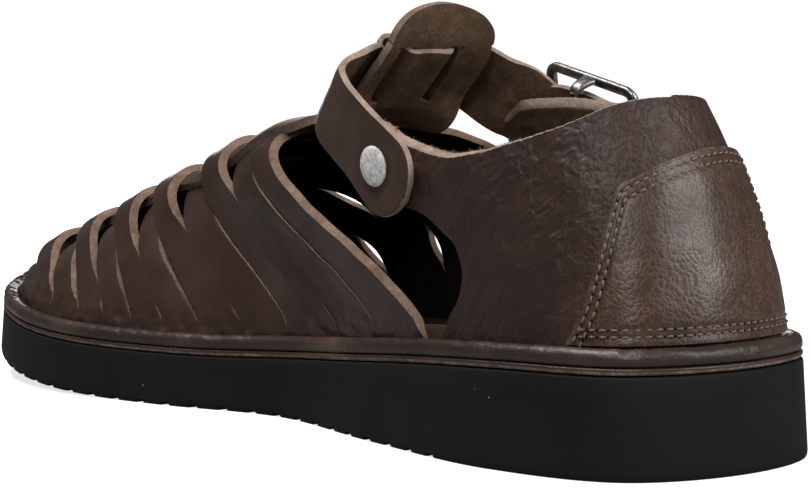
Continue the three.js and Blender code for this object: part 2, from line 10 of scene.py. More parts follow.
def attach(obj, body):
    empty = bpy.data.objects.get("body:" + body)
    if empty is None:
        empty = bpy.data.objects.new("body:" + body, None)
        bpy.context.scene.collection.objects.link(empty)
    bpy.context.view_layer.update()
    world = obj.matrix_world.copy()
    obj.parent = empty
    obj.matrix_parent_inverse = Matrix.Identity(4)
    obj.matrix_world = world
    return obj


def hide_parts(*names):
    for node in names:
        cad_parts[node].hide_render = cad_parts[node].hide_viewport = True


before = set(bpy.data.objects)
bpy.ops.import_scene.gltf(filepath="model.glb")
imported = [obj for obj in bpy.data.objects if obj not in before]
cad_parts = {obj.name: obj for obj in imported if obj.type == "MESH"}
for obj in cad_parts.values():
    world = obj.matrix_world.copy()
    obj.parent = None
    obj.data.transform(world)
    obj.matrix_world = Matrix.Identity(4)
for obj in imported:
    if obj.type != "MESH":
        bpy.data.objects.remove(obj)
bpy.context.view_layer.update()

# the shoe's own sizes

shoe = {
    "length": 292.0, "heelHalfWidth": 37.8, "waistInner": 29.3, "ballInner": 49.3, "ballOuter": 52.0,
    "toeShift": -6.8, "heelThickness": 21.5, "toeThickness": 13.4, "toeSpring": 11.1, "springStart": 175.0,
    "gap": 0.3, "plateThickness": 1.5, "leather": 2.0, "upperInset": 5.7, "originX": 1.35, "originY": 146.0,
}
weltTopRise = 2 * shoe["gap"] + shoe["plateThickness"]   # the upper and the welt start this far above the wedge

# rear edge of each strip from the toe to the instep: along the ridge, inner base, outer base
stripEdges = np.array([
    (281.0, 286.2, 286.2), (277.0, 266.0, 268.0), (268.0, 238.0, 244.0), (256.5, 222.5, 229.0),
    (246.0, 207.5, 216.0), (235.5, 196.0, 205.0), (225.0, 185.0, 195.0), (214.5, 172.5, 184.0),
    (205.0, 159.5, 172.0), (195.0, 147.0, 160.0), (183.0, 131.5, 145.0), (170.0, 109.0, 127.0),
    (157.0, 88.5, 106.0), (144.5, 69.0, 86.0),
])
firstStrip = 2
stripCount = 11

# ridge of the last: y, x, z
ridgeLine = np.array([
    (60, 0, 104), (100, -2, 86), (138, -5, 75.2), (150, -6, 74.2), (161, -6.6, 71), (172, -7, 67.2),
    (201, -8, 58), (237, -9, 46.5), (266, -9, 37.3), (278, -8, 32.6), (282, -7, 30.2),
], dtype=float)


# plain helpers on arrays

# straight blend from a to b
def mix(a, b, t):
    return a + (b - a) * t


# 0 below low, 1 above high, an S-shaped cubic between
def smooth(x, low, high):
    t = np.clip((x - low) / (high - low), 0, 1)
    return t * t * (3 - 2 * t)


def unit(v):
    return v / np.maximum(np.linalg.norm(v, axis=-1, keepdims=True), 1e-9)


# monotone cubic through rows of (a, b): harmonic mean of the neighbouring slopes at each knot
def curveThrough(a, b, at):
    a = np.asarray(a, float)
    b = np.asarray(b, float)
    if a[-1] < a[0]:
        a, b = a[::-1], b[::-1]
    step = np.diff(a)
    slope = np.diff(b) / step
    before, after = slope[:-1], slope[1:]
    both = np.where(before + after == 0, 1, before + after)
    inner = np.where(before * after > 0, 2 * before * after / both, 0)
    tangent = np.concatenate([slope[:1], inner, slope[-1:]])
    place = np.clip(at, a[0], a[-1])
    i = np.clip(np.searchsorted(a, place, side="right") - 1, 0, len(a) - 2)
    h = step[i]
    t = (place - a[i]) / h
    rise = b[i + 1] - b[i]
    start = tangent[i] * h
    end = tangent[i + 1] * h
    return b[i] + t * (start + t * (3 * rise - 2 * start - end + t * (start + end - 2 * rise)))


# distance run along a line of points, at each of them
def runAlong(line):
    return np.concatenate([[0], np.cumsum(np.linalg.norm(np.diff(line, axis=0), axis=1))])


def pointsAt(line, reach, wanted):
    return np.stack([np.interp(wanted, reach, line[:, k]) for k in range(line.shape[1])], axis=1)


# the same line with count points spaced evenly along it
def evenly(line, count):
    reach = runAlong(line)
    return pointsAt(line, reach, np.linspace(0, reach[-1], count))


# centripetal Catmull-Rom curve through points, count samples spaced evenly along it
def smoothPath(points, count, closed=False):
    p = np.asarray(points, float)
    if closed:
        p = np.concatenate([p[-1:], p, p[:2]])
    else:
        p = np.concatenate([2 * p[:1] - p[1:2], p, 2 * p[-1:] - p[-2:-1]])
    knots = np.maximum(np.linalg.norm(np.diff(p, axis=0), axis=1), 1e-6) ** 0.5
    made = []
    t = np.linspace(0, 1, 60, endpoint=False)[:, None]
    for i in range(1, len(p) - 2):
        d0, d1, d2 = knots[i - 1], knots[i], knots[i + 1]
        m1 = (p[i] - p[i - 1]) / d0 - (p[i + 1] - p[i - 1]) / (d0 + d1) + (p[i + 1] - p[i]) / d1
        m2 = (p[i + 1] - p[i]) / d1 - (p[i + 2] - p[i]) / (d1 + d2) + (p[i + 2] - p[i + 1]) / d2
        m1, m2 = m1 * d1, m2 * d1
        made.append(p[i] + t * m1 + t ** 2 * (3 * (p[i + 1] - p[i]) - 2 * m1 - m2)
                    + t ** 3 * (2 * (p[i] - p[i + 1]) + m1 + m2))
    line = np.concatenate(made + [p[-2:-1]])
    return evenly(line, count + 1)[:-1] if closed else evenly(line, count)


# sum of a few sine waves with fixed, seeded directions: a smooth random field on points
def ripple(points, size, seed, waves=14):
    rng = np.random.default_rng(seed)
    direction = unit(rng.normal(size=(waves, 3)))
    pitch = size * rng.uniform(0.7, 1.5, waves)
    phase = rng.uniform(0, 2 * math.pi, waves)
    turns = points @ direction.T * (2 * math.pi / pitch) + phase
    return np.sin(turns).sum(axis=-1) / math.sqrt(waves / 2)


# plan of the sole

def outlinePoints():
    s = shoe
    heel = -s["heelHalfWidth"]
    midInner = -(s["waistInner"] + s["ballInner"]) / 2
    points = [
        (0, 0), (heel * 0.72, 9), (heel, 40), (-(s["waistInner"] * 0.35 + s["heelHalfWidth"] * 0.65), 86),
        (-s["waistInner"], 132), (midInner - 1, 169), (-s["ballInner"], 213), (4 - s["ballInner"], 246),
        (s["toeShift"] - 25, 273), (s["toeShift"], s["length"]), (s["toeShift"] + 27, 280),
        (s["toeShift"] + 45, 253), (s["ballOuter"] - 3, 215), (s["ballOuter"], 180), (s["ballOuter"] - 6, 140),
        ((s["ballOuter"] + s["heelHalfWidth"]) / 2 - 4, 95), (s["heelHalfWidth"], 45),
        (s["heelHalfWidth"] * 0.72, 9),
    ]
    return smoothPath(points, 1440, closed=True)


outline = outlinePoints()
outlineAlong = unit(np.roll(outline, -1, axis=0) - np.roll(outline, 1, axis=0))
outlineIn = np.stack([outlineAlong[:, 1], -outlineAlong[:, 0]], axis=1)   # from the edge towards the foot
outlineStep = np.linalg.norm(np.roll(outline, -1, axis=0) - outline, axis=1).mean()


# the sole's outline moved inwards
def insetOutline(amount):
    return outline + outlineIn * amount


# x of one side of an inset outline at given y
def sideX(side, y, inset):
    plan = insetOutline(inset)
    back, front = plan[:, 1].argmin(), plan[:, 1].argmax()
    way = 1 if side == "inner" else -1
    steps = way * np.arange(way * (front - back) % len(plan) + 1)
    walk = plan[(back + steps) % len(plan)]
    rising = np.maximum.accumulate(walk[:, 1])
    return np.interp(y, rising, walk[:, 0])


# heights

def groundHeight(y):
    run = shoe["length"] - shoe["springStart"]
    return shoe["toeSpring"] * np.clip((y - shoe["springStart"]) / run, 0, 1) ** 2


def wedgeTop(y):
    return 0.9 * groundHeight(y) + mix(shoe["heelThickness"], shoe["toeThickness"], smooth(y, 27, 164))


def seatHeight(y):
    return wedgeTop(y) + weltTopRise


# the last: vamp and quarter as surfaces

def ridgePoint(y):
    return np.stack([curveThrough(ridgeLine[:, 0], ridgeLine[:, 1], y), y,
                     curveThrough(ridgeLine[:, 0], ridgeLine[:, 2], y)], axis=-1)


featherY = np.linspace(4, 287.5, 600)
featherX = {side: sideX(side, featherY, shoe["upperInset"]) for side in ("inner", "outer")}


def vampBase(place, across):
    rows = np.arange(len(stripEdges))
    inner = curveThrough(rows, stripEdges[:, 1], place)
    outer = curveThrough(rows, stripEdges[:, 2], place)
    y = np.where(across < 0, inner, outer)
    x = np.where(across < 0, np.interp(inner, featherY, featherX["inner"]),
                 np.interp(outer, featherY, featherX["outer"]))
    return np.stack([x, y, seatHeight(y)], axis=-1)


# vamp: place counts the strips' edges, across runs from the inner base (-1) over the ridge to the outer base (1).
# Height is a quarter sine, the way in is a power of one less a quarter cosine, and the strips swing forward as
# they climb.
def vampPlain(place, across):
    place, across = np.broadcast_arrays(place, across)
    base = vampBase(place, across)
    top = ridgePoint(curveThrough(np.arange(len(stripEdges)), stripEdges[:, 0], place))
    turn = (1 - np.abs(across)) * math.pi / 2
    climb = np.sin(turn)
    toInstep = smooth(place, firstStrip + 4, firstStrip + 9)
    inward = np.maximum(1 - np.cos(turn), 0) ** mix(1, np.where(across < 0, 1.65, 1.95), toInstep)
    toeSweep = mix(2.4, 1, smooth(place, firstStrip, firstStrip + 7))
    slant = np.where(across < 0, 0, 0.76)
    sweep = mix(np.maximum(climb, 1e-9) ** toeSweep, mix(smooth(climb, 0, 1), inward, slant), toInstep)
    return np.stack([mix(base[..., 0], top[..., 0], inward), mix(base[..., 1], top[..., 1], sweep),
                     mix(base[..., 2], top[..., 2], climb)], axis=-1)


# ribs of the quarter: where on the ridge a rib from a place along the base leans to, and how soon it leans in
ribShape = {"start": 46.5, "share": 0.5, "heelPower": 0.7, "waistPower": 1.6, "waistAt": 95}


def ribTop(baseY):
    return ridgePoint(ribShape["start"] + ribShape["share"] * baseY)


def ribPower(baseY):
    return mix(ribShape["heelPower"], ribShape["waistPower"], smooth(baseY, 0, ribShape["waistAt"]))


# quarter: around counts outline samples from the heel (positive on the inner side), climb goes from the feather
# line (0) towards the crown (1)
def quarterPlain(around, climb):
    plan = insetOutline(shoe["upperInset"])
    n = len(plan)
    low = np.floor(around).astype(int)
    part = (around - low)[..., None]
    base = plan[low % n] * (1 - part) + plan[(low + 1) % n] * part
    top = ribTop(base[..., 1])
    turn = climb * math.pi / 2
    inward = np.maximum(1 - np.cos(turn), 0) ** ribPower(base[..., 1])
    z = mix(seatHeight(base[..., 1]), top[..., 2], np.sin(turn))
    x, y = (mix(base[..., k], top[..., k], inward) for k in (0, 1))
    return np.stack([x, y, z], axis=-1)


# outward normals of a surface function, by small steps
def surfaceNormal(surface, a, b, stepA, stepB, outward):
    alongA = surface(a + stepA, b) - surface(a - stepA, b)
    alongB = surface(a, b + stepB) - surface(a, b - stepB)
    normal = unit(np.cross(alongA, alongB))
    facing = (normal * outward(surface(a, b))).sum(-1, keepdims=True)
    return np.where(facing < 0, -normal, normal)


def vampNormal(place, across):
    away = lambda p: np.stack([p[..., 0] * 1.5 + 4, p[..., 0] * 0, np.maximum(p[..., 2] - 30, 4)], axis=-1)
    return surfaceNormal(vampPlain, place, across, 0.02, 0.002, away)


def quarterNormal(around, climb):
    away = lambda p: np.stack([p[..., 0], (p[..., 1] - 75) * 0.8, p[..., 0] * 0 + 4], axis=-1)
    return surfaceNormal(quarterPlain, around, climb, 0.05, 0.002, away)


# half the angle across the vamp that a width from the ridge takes
def acrossAt(place, across, width):
    base = vampBase(place, across)
    top = ridgePoint(curveThrough(np.arange(len(stripEdges)), stripEdges[:, 0], place))
    half = np.maximum(np.abs(top[..., 0] - base[..., 0]), width * 1.15)
    return (2 / math.pi) * np.arcsin(width / half)


# meshes

def toMetres(points):
    return (points - np.array([shoe["originX"], shoe["originY"], 0.0])) / 1000


def meshPiece(name, points, faces, materials, replaced=(), faceMaterial=None, sharp=42):
    mesh = bpy.data.meshes.new(name)
    corners = faces if isinstance(faces, list) else faces.tolist()
    mesh.from_pydata(toMetres(points.reshape(-1, 3)).tolist(), [], corners)
    for material in materials:
        mesh.materials.append(material)
    if faceMaterial is not None:
        mesh.polygons.foreach_set("material_index", faceMaterial.astype(np.int32))
    mesh.polygons.foreach_set("use_smooth", np.ones(len(mesh.polygons), dtype=bool))
    mesh.update()
    mesh.validate()
    mesh.set_sharp_from_angle(angle=math.radians(sharp))
    piece = bpy.data.objects.new(name, mesh)
    bpy.context.collection.objects.link(piece)
    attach(piece, "root")
    if replaced:
        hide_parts(*replaced)
    return piece


# quads of a grid of rows x columns, optionally joined round either way
def gridFaces(rows, columns, wrapRows=False, wrapColumns=False):
    r = np.arange(rows if wrapRows else rows - 1)
    c = np.arange(columns if wrapColumns else columns - 1)
    r, c = np.meshgrid(r, c, indexing="ij")
    up, right = (r + 1) % rows, (c + 1) % columns
    quads = np.stack([r * columns + c, r * columns + right, up * columns + right, up * columns + c], axis=-1)
    return quads.reshape(-1, 4)


# turn every face round if the closed shape's volume comes out negative
def facingOut(points, faces):
    p = points.reshape(-1, 3)
    a, b, c, d = (p[faces[:, k]] for k in range(4))
    volume = (a * np.cross(b, c)).sum() + (a * np.cross(c, d)).sum()
    return faces if volume > 0 else faces[:, ::-1]


# face and back of a sheet lifted off its two base grids along the normals, the leather's thickness apart
def twoFaces(outer, inner, normal, lift):
    return outer + normal * lift[..., None], inner + normal * (lift - shoe["leather"])[..., None]


# a leather sheet: face points and back points on the same grid. Cells in mask are leather. Every free edge gets a
# wall of two quads that bulges a little and takes the second material; a third material goes on the back.
def sheetPiece(name, face, back, materials, replaced=(), mask=None, bulge=0.25, sharp=42):
    rows, columns = face.shape[:2]
    if mask is None:
        mask = np.ones((rows - 1, columns - 1), bool)
    count = rows * columns
    index = np.arange(count).reshape(rows, columns)
    corner = np.stack([index[:-1, :-1], index[:-1, 1:], index[1:, 1:], index[1:, :-1]], axis=-1)[mask]
    padded = np.pad(mask, 1)
    inside = padded[1:-1, 1:-1]
    edges = []
    for shifted, a, b in ((padded[:-2, 1:-1], index[:-1, :-1], index[:-1, 1:]),
                          (padded[2:, 1:-1], index[1:, 1:], index[1:, :-1]),
                          (padded[1:-1, :-2], index[1:, :-1], index[:-1, :-1]),
                          (padded[1:-1, 2:], index[:-1, 1:], index[1:, 1:])):
        free = inside & ~shifted
        edges.append(np.stack([a[free], b[free]], axis=-1))
    edge = np.concatenate(edges)
    used, flat = np.unique(edge, return_inverse=True)
    edge = flat.reshape(-1, 2)
    f, g = face.reshape(-1, 3), back.reshape(-1, 3)
    middle = (f[used] + g[used]) / 2
    along = np.zeros_like(middle)
    for end in (0, 1):
        np.add.at(along, edge[:, end], f[used[edge[:, 1]]] - f[used[edge[:, 0]]])
    out = unit(np.cross(along, f[used] - g[used]))
    points = np.concatenate([f, g, middle + out * bulge])
    face4 = corner
    back4 = corner[:, ::-1] + count
    a, b = edge[:, 0], edge[:, 1]
    upper = np.stack([used[b], used[a], 2 * count + a, 2 * count + b], axis=-1)
    lower = np.stack([2 * count + b, 2 * count + a, count + used[a], count + used[b]], axis=-1)
    faces = np.concatenate([face4, back4, upper, lower])
    backKind = len(materials) - 1 if len(materials) > 2 else 0
    kind = np.repeat([0, backKind, 1], [len(face4), len(back4), len(upper) + len(lower)])
    faces = facingOut(points, faces)
    keep = np.zeros(len(points), bool)
    keep[faces.reshape(-1)] = True
    renumber = np.cumsum(keep) - 1
    return meshPiece(name, points[keep], renumber[faces], materials, replaced, kind, sharp)


# materials

def setInputs(tree, node, inputs):
    for key, value in inputs.items():
        if hasattr(value, "is_output"):
            tree.links.new(value, node.inputs[key])
        else:
            node.inputs[key].default_value = value


def addNode(tree, kind, inputs=None, **settings):
    node = tree.nodes.new(kind)
    for key, value in settings.items():
        setattr(node, key, value)
    setInputs(tree, node, inputs or {})
    return node


def newGroup(name, takes, gives):
    group = bpy.data.node_groups.new(name, "ShaderNodeTree")
    for label, kind, value in takes:
        socket = group.interface.new_socket(name=label, in_out="INPUT", socket_type=kind)
        if value is not None:
            socket.default_value = value
    for label, kind in gives:
        group.interface.new_socket(name=label, in_out="OUTPUT", socket_type=kind)
    return group, group.nodes.new("NodeGroupInput"), group.nodes.new("NodeGroupOutput")


def mathNode(tree, operation, a, b):
    return addNode(tree, "ShaderNodeMath", {0: a, 1: b}, operation=operation).outputs[0]


def vectorNode(tree, operation, inputs):
    return addNode(tree, "ShaderNodeVectorMath", inputs, operation=operation).outputs[0]


def noise(tree, vector, scale, detail, roughness=0.5, distortion=0.0):
    return addNode(tree, "ShaderNodeTexNoise", {"Vector": vector, "Scale": scale, "Detail": detail,
                                                "Roughness": roughness, "Distortion": distortion}).outputs


def mapRange(tree, value, fromLow, fromHigh, toLow, toHigh, **settings):
    inputs = {0: value, 1: fromLow, 2: fromHigh, 3: toLow, 4: toHigh}
    return addNode(tree, "ShaderNodeMapRange", inputs, **settings).outputs[0]


def mixColour(tree, share, first, second):
    return addNode(tree, "ShaderNodeMix", {0: share, 6: first, 7: second}, data_type="RGBA").outputs[2]


def bumped(tree, height, strength, distance):
    inputs = {"Strength": strength, "Distance": distance, "Height": height}
    return addNode(tree, "ShaderNodeBump", inputs).outputs[0]


# pebbles, pores and long wrinkles of leather: a height, a crack mask and a broad tone
def leatherGrainGroup():
    group, given, out = newGroup("leatherGrain", [
        ("Vector", "NodeSocketVector", None), ("Pebble Scale", "NodeSocketFloat", 480.0),
        ("Pebble Depth", "NodeSocketFloat", 0.6), ("Pore Depth", "NodeSocketFloat", 0.25),
        ("Wrinkle Depth", "NodeSocketFloat", 0.3),
    ], [("Height", "NodeSocketFloat"), ("Crack", "NodeSocketFloat"), ("Tone", "NodeSocketFloat")])
    vector, scale = given.outputs["Vector"], given.outputs["Pebble Scale"]
    drift = noise(group, vector, 160.0, 2.0)["Color"]
    warp = vectorNode(group, "SUBTRACT", {0: drift, 1: (0.5, 0.5, 0.5)})
    push = vectorNode(group, "SCALE", {0: warp, "Scale": 0.004})
    bent = vectorNode(group, "ADD", {0: vector, 1: push})
    pebble = addNode(group, "ShaderNodeTexVoronoi", {"Vector": bent, "Scale": scale},
                     feature="DISTANCE_TO_EDGE")
    crack = mapRange(group, pebble.outputs["Distance"], 0.0, 0.16, 0.0, 1.0, interpolation_type="SMOOTHSTEP")
    dome = addNode(group, "ShaderNodeTexVoronoi", {"Vector": bent, "Scale": scale, "Smoothness": 0.35},
                   feature="SMOOTH_F1")
    roundTop = mathNode(group, "SUBTRACT", 1.0, dome.outputs["Distance"])
    mound = mathNode(group, "ADD", roundTop, mathNode(group, "MULTIPLY", crack, 0.35))
    pore = noise(group, vector, 2600.0, 3.0, 0.6)["Fac"]
    stretch = addNode(group, "ShaderNodeMapping", {"Vector": bent, "Rotation": (0.46, 0.0, 0.0),
                                                   "Scale": (1.0, 1.0, 2.2)}, vector_type="TEXTURE").outputs[0]
    wrinkle = noise(group, stretch, 520.0, 1.0, 0.5, 0.2)["Fac"]
    lines = mapRange(group, noise(group, vector, 420.0, 2.0)["Fac"], 0.34, 0.56, 0.0, 1.0)
    gap = mathNode(group, "MULTIPLY", mathNode(group, "SUBTRACT", 1.0, crack), lines)
    height = mathNode(group, "MULTIPLY", mound, given.outputs["Pebble Depth"])
    for part, depth in ((pore, "Pore Depth"), (wrinkle, "Wrinkle Depth")):
        height = mathNode(group, "ADD", height, mathNode(group, "MULTIPLY", part, given.outputs[depth]))
    setInputs(group, out, {"Height": height, "Crack": mathNode(group, "SUBTRACT", 1.0, gap),
                           "Tone": noise(group, vector, 42.0, 4.0, 0.6)["Fac"]})
    return group


# short fibres and clumps of a cut or flesh side
def fibreGroup():
    group, given, out = newGroup("leatherFibre", [
        ("Vector", "NodeSocketVector", None), ("Scale", "NodeSocketFloat", 1500.0),
    ], [("Height", "NodeSocketFloat"), ("Tone", "NodeSocketFloat")])
    vector = given.outputs["Vector"]
    fine = noise(group, vector, given.outputs["Scale"], 6.0, 0.75, 0.8)["Fac"]
    clump = noise(group, vector, 240.0, 4.0)["Fac"]
    both = mathNode(group, "ADD", fine, mathNode(group, "MULTIPLY", clump, 0.8))
    setInputs(group, out, {"Height": both, "Tone": mathNode(group, "MULTIPLY", both, 0.56)})
    return group


leatherGrain = leatherGrainGroup()
leatherFibre = fibreGroup()
heelBlend = (-0.116, -0.137)     # metres along the shoe over which the quarter's leather turns into the heel's


def startMaterial(name):
    material = bpy.data.materials.new(name)
    material.use_nodes = True
    tree = material.node_tree
    tree.nodes.clear()
    end = tree.nodes.new("ShaderNodeOutputMaterial")
    shader = tree.nodes.new("ShaderNodeBsdfPrincipled")
    tree.links.new(shader.outputs[0], end.inputs[0])
    place = tree.nodes.new("ShaderNodeTexCoord").outputs["Object"]
    return material, tree, shader, place


def colourRamp(tree, value, stops):
    ramp = addNode(tree, "ShaderNodeValToRGB", {"Fac": value})
    parts = ramp.color_ramp.elements
    while len(parts) < len(stops):
        parts.new(0.5)
    for part, (at, colour) in zip(parts, stops):
        part.position = at
        part.color = (*colour, 1.0)
    return ramp.outputs["Color"]


# a look's dark, base and light colours at three levels of a tone
def threeColours(tree, tone, look, levels):
    return colourRamp(tree, tone, list(zip(levels, (look["dark"], look["base"], look["light"]))))


# grain side of leather; with a second look the first one turns into it towards the heel
def grainedLeather(name, look, heel=None):
    material, tree, shader, place = startMaterial(name)
    far = addNode(tree, "ShaderNodeSeparateXYZ", {0: place}).outputs["Y"] if heel else None

    def towardsHeel(first, last):
        return mapRange(tree, far, *heelBlend, first, last)

    def valueOf(key):
        return towardsHeel(look[key], heel[key]) if heel else look[key]
    grain = addNode(tree, "ShaderNodeGroup", {
        "Vector": place, "Pebble Scale": look["pebbleScale"], "Pebble Depth": valueOf("pebbleDepth"),
        "Pore Depth": look["poreDepth"], "Wrinkle Depth": valueOf("wrinkleDepth"),
    }, node_tree=leatherGrain)
    tone = grain.outputs["Tone"]
    levels = (0.3, 0.52, 0.72)
    colour = threeColours(tree, tone, look, levels)
    if heel:
        colour = mixColour(tree, towardsHeel(0.0, 1.0), colour, threeColours(tree, tone, heel, levels))
    cracked = mapRange(tree, grain.outputs["Crack"], 0.0, 1.0, valueOf("crackTone"), 1.0)
    setInputs(tree, shader, {
        "Base Color": vectorNode(tree, "MULTIPLY", {0: colour, 1: cracked}),
        "Roughness": mapRange(tree, tone, 0.3, 0.7, look["rough"] + 0.08, look["rough"] - 0.06),
        "Specular IOR Level": look["specular"],
        "Normal": bumped(tree, grain.outputs["Height"], look["bump"], 0.0004),
    })
    return material


# cut edge or flesh side of leather
def fibrousLeather(name, look):
    material, tree, shader, place = startMaterial(name)
    fibre = addNode(tree, "ShaderNodeGroup", {"Vector": place, "Scale": look["scale"]}, node_tree=leatherFibre)
    setInputs(tree, shader, {
        "Base Color": threeColours(tree, fibre.outputs["Tone"], look, (0.3, 0.5, 0.68)),
        "Roughness": look["rough"], "Specular IOR Level": 0.2,
        "Normal": bumped(tree, fibre.outputs["Height"], look["bump"], 0.0005),
    })
    return material


smoothLook = {"dark": (0.037, 0.0195, 0.0135), "base": (0.058, 0.0320, 0.0225), "light": (0.082, 0.047, 0.034),
              "pebbleScale": 900.0, "pebbleDepth": 0.12, "poreDepth": 0.15, "wrinkleDepth": 0.4,
              "crackTone": 1.0, "rough": 0.46, "bump": 0.4, "specular": 0.28}
vampLeatherLook = {**smoothLook, "dark": (0.026, 0.0135, 0.0095), "base": (0.040, 0.0205, 0.0138),
                   "light": (0.058, 0.031, 0.0215), "rough": 0.36, "specular": 0.38}
quarterLook = {"dark": (0.025, 0.0138, 0.0120), "base": (0.035, 0.0192, 0.0162),
               "light": (0.047, 0.027, 0.0225), "pebbleScale": 900.0, "pebbleDepth": 0.1, "poreDepth": 0.1,
               "wrinkleDepth": 3.2, "crackTone": 1.0, "rough": 0.42, "bump": 0.62, "specular": 0.24}
counterLook = {"dark": (0.038, 0.0200, 0.0125), "base": (0.055, 0.0300, 0.0192),
               "light": (0.077, 0.0445, 0.0300), "pebbleScale": 880.0, "pebbleDepth": 0.6, "poreDepth": 0.15,
               "wrinkleDepth": 0.5, "crackTone": 2.2, "rough": 0.34, "bump": 0.2, "specular": 0.45}
rawLook = {"dark": (0.16, 0.108, 0.080), "base": (0.36, 0.262, 0.205), "light": (0.52, 0.41, 0.34),
           "scale": 1500.0, "rough": 0.92, "bump": 0.9}
stripEdgeLook = {**rawLook, "dark": (0.090, 0.056, 0.038), "base": (0.205, 0.135, 0.097),
                 "light": (0.34, 0.24, 0.18)}
tabEdgeLook = {**rawLook, "dark": (0.09, 0.06, 0.044), "base": (0.21, 0.15, 0.115), "light": (0.34, 0.26, 0.21)}
fleshLook = {"dark": (0.070, 0.041, 0.025), "base": (0.142, 0.087, 0.054), "light": (0.24, 0.155, 0.10),
             "scale": 1200.0, "rough": 0.95, "bump": 0.8}
# flesh side of the strips and toe painted near black: painted shade of the shoe's inside, a shaded copy of
# fleshLook
shadedFleshLook = {**fleshLook, "dark": (0.006, 0.0042, 0.003), "base": (0.011, 0.0075, 0.0055),
              "light": (0.020, 0.014, 0.010)}
weltLook = {"dark": (0.019, 0.0100, 0.0072), "base": (0.037, 0.0208, 0.0150), "light": (0.086, 0.054, 0.039),
            "pebbleScale": 900.0, "pebbleDepth": 0.2, "poreDepth": 0.3, "wrinkleDepth": 0.5,
            "crackTone": 1.0, "rough": 0.36, "bump": 0.5, "specular": 0.5}
soleEdgeLook = {"dark": (0.060, 0.038, 0.028), "base": (0.21, 0.15, 0.115), "light": (0.48, 0.38, 0.31),
                "scale": 700.0, "rough": 0.85, "bump": 0.8}

brownLeather = grainedLeather("brownLeather", smoothLook)
vampLeather = grainedLeather("vampLeather", vampLeatherLook)
pebbledLeather = grainedLeather("pebbledLeather", quarterLook, counterLook)
counterLeather = grainedLeather("counterLeather", counterLook)
rawEdge = fibrousLeather("rawEdge", rawLook)
stripEdge = fibrousLeather("stripEdge", stripEdgeLook)
tabEdge = fibrousLeather("tabEdge", tabEdgeLook)
fleshSide = fibrousLeather("fleshSide", fleshLook)
# material with painted shade, for the backs of the strips and the toe
shadedFleshSide = fibrousLeather("shadedFleshSide", shadedFleshLook)
weltLeather = grainedLeather("weltLeather", weltLook)
insoleLeather = grainedLeather("insoleLeather", {**smoothLook, "rough": 0.6, "bump": 0.3})
soleEdge = fibrousLeather("soleEdge", soleEdgeLook)


# foamed rubber: near black, a fine skin, and a few pale specks of dust
def foamRubber():
    look = {"base": (0.0085, 0.0085, 0.009), "light": (0.013, 0.013, 0.0138), "speck": (0.2, 0.2, 0.2),
            "rough": 0.65, "speckSize": 0.055, "bare": 0.9}
    material, tree, shader, place = startMaterial("foamRubber")
    cloud = noise(tree, place, 30.0, 3.0)["Fac"]
    colour = colourRamp(tree, cloud, [(0.35, look["base"]), (0.7, look["light"])])
    cell = addNode(tree, "ShaderNodeTexVoronoi", {"Vector": place, "Scale": 210.0, "Randomness": 1.0})
    chosen = addNode(tree, "ShaderNodeSeparateColor", {"Color": cell.outputs["Color"]}).outputs[0]
    near = mathNode(tree, "LESS_THAN", cell.outputs["Distance"], look["speckSize"])
    speck = mathNode(tree, "MULTIPLY", near, mathNode(tree, "GREATER_THAN", chosen, look["bare"]))
    setInputs(tree, shader, {
        "Base Color": mixColour(tree, speck, colour, (*look["speck"], 1.0)),
        "Roughness": look["rough"], "Specular IOR Level": 0.14,
        "Normal": bumped(tree, noise(tree, place, 1800.0, 4.0, 0.7)["Fac"], 0.35, 0.0002),
    })
    return material


# metal that has been tumbled or handled: a mottled tone and fine scratches
def wornMetal(name, look):
    material, tree, shader, place = startMaterial(name)
    mottle = noise(tree, place, look["mottleScale"], 6.0, 0.75)["Fac"]
    setInputs(tree, shader, {
        "Base Color": threeColours(tree, mottle, look, (0.36, 0.5, 0.64)),
        "Roughness": mapRange(tree, mottle, 0.35, 0.65, look["rough"] + 0.15, look["rough"] - 0.05),
        "Metallic": look["metallic"], "Normal": bumped(tree, mottle, 0.4, 0.0002),
    })
    return material


rubber = foamRubber()
rivetLook = {"dark": (0.34, 0.33, 0.315), "base": (0.70, 0.685, 0.67), "light": (0.95, 0.94, 0.92),
             "mottleScale": 900.0, "rough": 0.45, "metallic": 0.1}
steelLook = {"dark": (0.13, 0.128, 0.12), "base": (0.24, 0.235, 0.225), "light": (0.36, 0.355, 0.34),
             "mottleScale": 500.0, "rough": 0.3, "metallic": 1.0}
rivetMetal = wornMetal("rivetMetal", rivetLook)
buckleMetal = wornMetal("buckleMetal", steelLook)


def sewingThread():
    material, tree, shader, place = startMaterial("sewingThread")
    twist = addNode(tree, "ShaderNodeTexWave", {"Vector": place, "Scale": 900.0, "Distortion": 2.0})
    colour = colourRamp(tree, twist.outputs["Fac"], [(0.2, (0.10, 0.068, 0.052)), (0.8, (0.24, 0.175, 0.14))])
    setInputs(tree, shader, {"Base Color": colour, "Roughness": 0.7})
    return material


thread = sewingThread()
# near-black beads sunk between the stitches: painted shade of the needle holes
holeShadeLook = {"dark": (0.004, 0.003, 0.002), "base": (0.006, 0.004, 0.003), "light": (0.010, 0.007, 0.005),
            "scale": 1500.0, "rough": 0.95, "bump": 0.3}
holeShade = fibrousLeather("needleHoleShade", holeShadeLook)
print("materials made")


# sole

